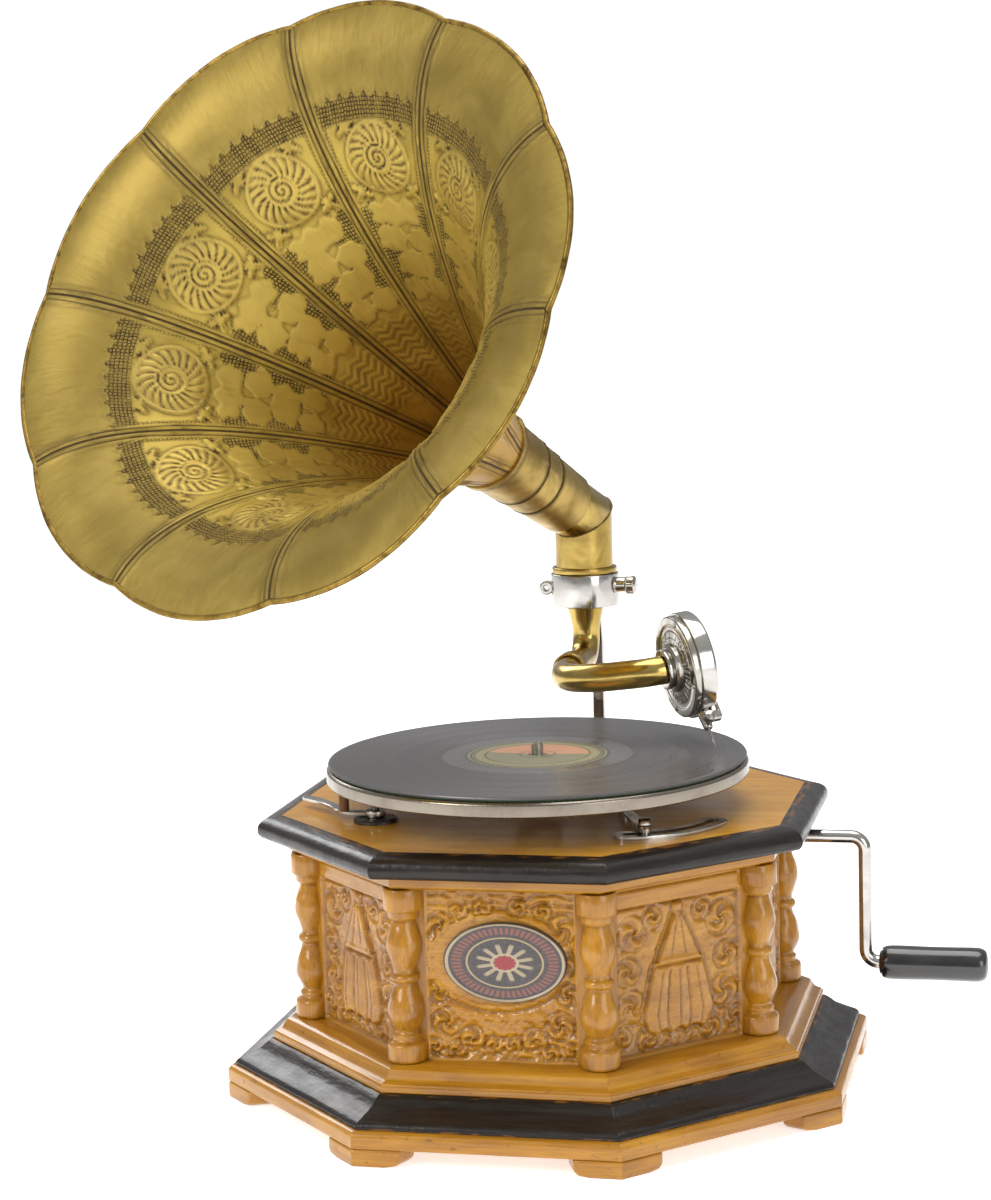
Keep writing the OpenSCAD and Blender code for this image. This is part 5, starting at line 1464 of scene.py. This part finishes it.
blade = strap([(-91, -72.8), (-107.6, -71), (-117, -58.5), (-130, -44), (-141.5, -34.8)], 6, 175, 177)
hub = turned(rounded([(2.55, 174), (6, 174), (6, 178), (2.55, 178)], 0.6), 48)
hub = hub[0] + np.array([BRAKE_X, BRAKE_Y, 0]), hub[1]
build("brake_blade", join(blade, hub), NICKEL, "brake", "brake_lever", 35)
pad_line = rounded([(0.1, 177), (3, 177), (3, 195), (0.1, 195)], 0.5)
points, faces = turned(pad_line, 40, False, 0.12, 88)
points += np.array([-107.3, -72.1, 0])
build("brake_pad_post", (points, faces), LEATHER, "brake", "brake_pad", 50)


def bow(centre, radius, angles):
    """Flat points at a distance from a centre, at each angle."""
    return [(centre[0] + radius * cos(a), centre[1] + radius * sin(a)) for a in angles]


def slot_outline(radius, half_width, start, end):
    """Outline of an arc-shaped slot with round ends."""
    outer = bow((0, 0), radius + half_width, np.linspace(start, end, 32))
    inner = bow((0, 0), radius - half_width, np.linspace(end, start, 32))
    last, first = bow((0, 0), radius, (end, start))
    cap = bow(last, half_width, [end + b for b in range(12, 179, 12)])
    tail = bow(first, half_width, [start + b for b in range(192, 359, 12)])
    return outer + cap + inner + tail


slot_start, slot_end = -77.7, -16.3
outer_line = np.array(slot_outline(SPEED_REACH, 8, slot_start, slot_end))
inner_line = np.array(slot_outline(SPEED_REACH, 3, slot_start, slot_end))
loops = [
    (outer_line, 0.0), (outer_line, 1.8), (outer_line * 0.9985, 2.3),
    (inner_line, 2.3), (inner_line, 1.9), (inner_line, 0.0),
]
points = np.concatenate([np.column_stack([line, np.full(len(line), z)]) for line, z in loops])
faces = grid(len(loops), len(outer_line), True, True)
points += np.array([SPEED_X, SPEED_Y, LID_TOP])
build("speed_slot_plate", (points, faces), NICKEL, "case", "speed_plate", 35)

bar_shape = strap([(-3, 0), (15, 0), (35, 0), (58.8, 0)], 6.4, 174.4, 176.9)
pivot = turned([(0.1, 126), (3, 126), (3, 177.4), (2.2, 178.2), (0.1, 178.4)], 36, False)
follower = turned([(0.1, 171.6), (2.4, 171.6), (2.4, 174.6), (0.1, 174.6)], 32, False)
follower = follower[0] + np.array([SPEED_REACH, 0, 0]), follower[1]
knob_line = [
    (0.1, 176.8), (4.4, 176.8), (4.5, 177.6), (3.7, 178.4),
    (3.5, 180.2), (3.8, 181), (3.3, 181.7), (0.1, 181.9),
]
knob = turned(knob_line, 60, False)
knob = knob[0] + np.array([57.1, 0, 0]), knob[1]
shape = join(bar_shape, pivot, follower, knob)
points = moved(shape[0], shift(SPEED_X, SPEED_Y, 0) @ turn_about("Z", -67.5))
build("speed_pointer", (points, shape[1]), NICKEL, "speed", "speed_lever", 35)

# ---------------------------------------------------------------- crank

corner_r = 8
first_end, low_end = CRANK_REACH - corner_r, corner_r - CRANK_DROP
rod = [(x, 0, 0) for x in (-20, 0, 60, 120, 150, 176, first_end)]
rod += arc((first_end, 0, -corner_r), (first_end, 0, 0), (0, 1, 0), 90, 12)
rod += [(CRANK_REACH, 0, z) for z in (-14, -26, -38.5, -52, -63, low_end)]
rod += arc((CRANK_REACH + corner_r, 0, low_end), (CRANK_REACH, 0, low_end), (0, -1, 0), 90, 12)
rod += [(x, 0, -CRANK_DROP) for x in (210, 225, 240, 257)]
rod = np.array(rod) + np.array([0, CRANK_Y, CRANK_Z])
thickness = np.where(rod[:, 0] > 199.5, 3.4, 4.0)
points, faces = tube(rod, thickness, 40)
build("crank_handle_rod", (points, faces), CHROME, "crank", "crank_rod", 40)

grip_line = [(3.45, 0), (6.4, 0), (7, 0.4), (7.3, 1.2)]
barrel = [
    (8.9, 1.7), (9.6, 3.2), (10.2, 6), (10.35, 14), (10.1, 30),
    (10.2, 45), (10.35, 56), (9.9, 60.6), (8.2, 63.4), (5.2, 64.7),
]
grip_end = [(2.5, 65), (0.1, 65), (0.1, 60), (3.45, 60)]
grip_line = np.vstack([grip_line, smooth_line(barrel, 4), grip_end])
points, faces = turned(np.minimum(grip_line, [10.35, 65]), 72, False)
grip_z = CRANK_Z - CRANK_DROP
points = moved(points, shift(198.5, CRANK_Y, grip_z) @ LEVEL)
build("crank_grip_handle", (points, faces), GRIP, "grip", "crank_grip", 40)
ferrule = turned(rounded([(3.5, -0.4), (5.8, -0.4), (6.1, 0.6), (3.5, 0.6)], 0.3), 40)
points = moved(ferrule[0], shift(198.7, CRANK_Y, grip_z) @ LEVEL)
build("crank_grip_washer", (points, ferrule[1]), NICKEL, "grip", (), 40)

# ---------------------------------------------------------------- CAD nodes that stay

KEPT = {
    "base_board": INNER_WOOD,
    "lid_board": BOARD,
    "soundbox_gasket": RUBBER,
    "diaphragm": MICA,
    "felt_mat": FELT,
    "spindle": STEEL,
    "worm_wheel": GEAR_BRASS,
    "friction_arm": STEEL,
    "winding_pinion": STEEL,
    "bedplate": IRON,
    "lower_plate": IRON,
    "motor_pillars": STEEL,
    "motor_screws": NICKEL,
    "spring_barrel": GEAR_BRASS,
    "barrel_cover": GEAR_BRASS,
    "mainspring": BLUED,
    "barrel_arbor": STEEL,
    "winding_wheel": GEAR_BRASS,
    "intermediate_arbor": STEEL,
    "intermediate_wheel": GEAR_BRASS,
    "governor_shaft": STEEL,
    "governor_weights": GEAR_BRASS,
    "governor_springs": BLUED,
    "governor_disc": GEAR_BRASS,
}
for name, material in KEPT.items():
    mesh = nodes[name].data
    mesh.materials.clear()
    mesh.materials.append(material)

# ---------------------------------------------------------------- floor, light and camera


def floor():
    mesh = bpy.data.meshes.new("floor")
    mesh.from_pydata([(-30, -30, 0), (30, -30, 0), (30, 30, 0), (-30, 30, 0)], [], [(0, 1, 2, 3)])
    p = Paint("floor_white", Roughness=0.9, Emission_Strength=0.64)
    p.feed(p.shader.inputs["Base Color"], (0.86, 0.86, 0.86, 1))
    p.feed(p.shader.inputs["Emission Color"], (1, 1, 1, 1))
    mesh.materials.append(p.material)
    piece = bpy.data.objects.new("floor", mesh)
    bpy.context.scene.collection.objects.link(piece)


def softbox(name, place, aim, width, height, power, tint=(1, 1, 1)):
    data = bpy.data.lights.new(name, "AREA")
    data.shape = "RECTANGLE"
    data.size = width
    data.size_y = height
    data.energy = power
    data.color = tint
    lamp = bpy.data.objects.new(name, data)
    lamp.location = place
    lamp.rotation_mode = "QUATERNION"
    lamp.rotation_quaternion = (Vector(aim) - Vector(place)).to_track_quat("-Z", "Y")
    bpy.context.scene.collection.objects.link(lamp)


def studio():
    world = bpy.data.worlds.new("studio")
    bpy.context.scene.world = world
    world.use_nodes = True
    tree = world.node_tree
    output = next(n for n in tree.nodes if n.type == "OUTPUT_WORLD")
    seen = tree.nodes.new("ShaderNodeBackground")
    seen.inputs["Color"].default_value = (1, 1, 1, 1)
    seen.inputs["Strength"].default_value = 1.02
    lit = tree.nodes.new("ShaderNodeBackground")
    where = tree.nodes.new("ShaderNodeTexCoord")
    split = tree.nodes.new("ShaderNodeSeparateXYZ")
    ramp = tree.nodes.new("ShaderNodeValToRGB")
    rise = tree.nodes.new("ShaderNodeMapRange")
    rise.inputs["From Min"].default_value = -0.2
    rise.inputs["From Max"].default_value = 1.0
    ramp.color_ramp.elements[0].color = (0.42, 0.42, 0.43, 1)
    ramp.color_ramp.elements[1].color = (1.0, 1.0, 1.0, 1)
    lit.inputs["Strength"].default_value = 0.6
    ray = tree.nodes.new("ShaderNodeLightPath")
    mix = tree.nodes.new("ShaderNodeMixShader")
    tree.links.new(where.outputs["Generated"], split.inputs[0])
    tree.links.new(split.outputs["Z"], rise.inputs["Value"])
    tree.links.new(rise.outputs[0], ramp.inputs[0])
    tree.links.new(ramp.outputs[0], lit.inputs["Color"])
    tree.links.new(ray.outputs["Is Camera Ray"], mix.inputs[0])
    tree.links.new(lit.outputs[0], mix.inputs[1])
    tree.links.new(seen.outputs[0], mix.inputs[2])
    tree.links.new(mix.outputs[0], output.inputs["Surface"])
    softbox("key", (-1.5, -1.9, 1.7), (0, 0, 0.35), 1.0, 1.4, 40, (1.0, 0.985, 0.96))
    softbox("front_fill", (1.9, -1.7, 0.9), (0, 0, 0.25), 1.2, 1.4, 17)
    softbox("top", (0.1, 0.2, 2.5), (0, 0, 0.2), 2.0, 1.6, 34)
    softbox("back_left", (-1.6, 1.6, 1.6), (0, 0, 0.35), 1.0, 1.2, 18)


def camera():
    yaw, pitch, roll = 12.41, 7.49, -1.55
    back = Vector((sin(yaw) * cos(pitch), -cos(yaw) * cos(pitch), sin(pitch)))
    right = Vector((cos(yaw), sin(yaw), 0))
    up = back.cross(right)
    across = cos(roll) * right + sin(roll) * up
    upward = cos(roll) * up - sin(roll) * right
    data = bpy.data.cameras.new("camera")
    data.sensor_fit = "AUTO"
    data.sensor_width = 36
    data.lens = 79.2
    data.shift_x = -0.03905
    data.shift_y = -0.00544
    data.clip_start = 0.05
    data.clip_end = 80
    eye = bpy.data.objects.new("camera", data)
    turn = Matrix((across, upward, back)).transposed()
    eye.matrix_world = Matrix.Translation((0.33880, -1.53932, 0.50383)) @ turn.to_4x4()
    bpy.context.scene.collection.objects.link(eye)
    bpy.context.scene.camera = eye


floor()
studio()
camera()
bpy.context.scene.view_settings.view_transform = "Standard"
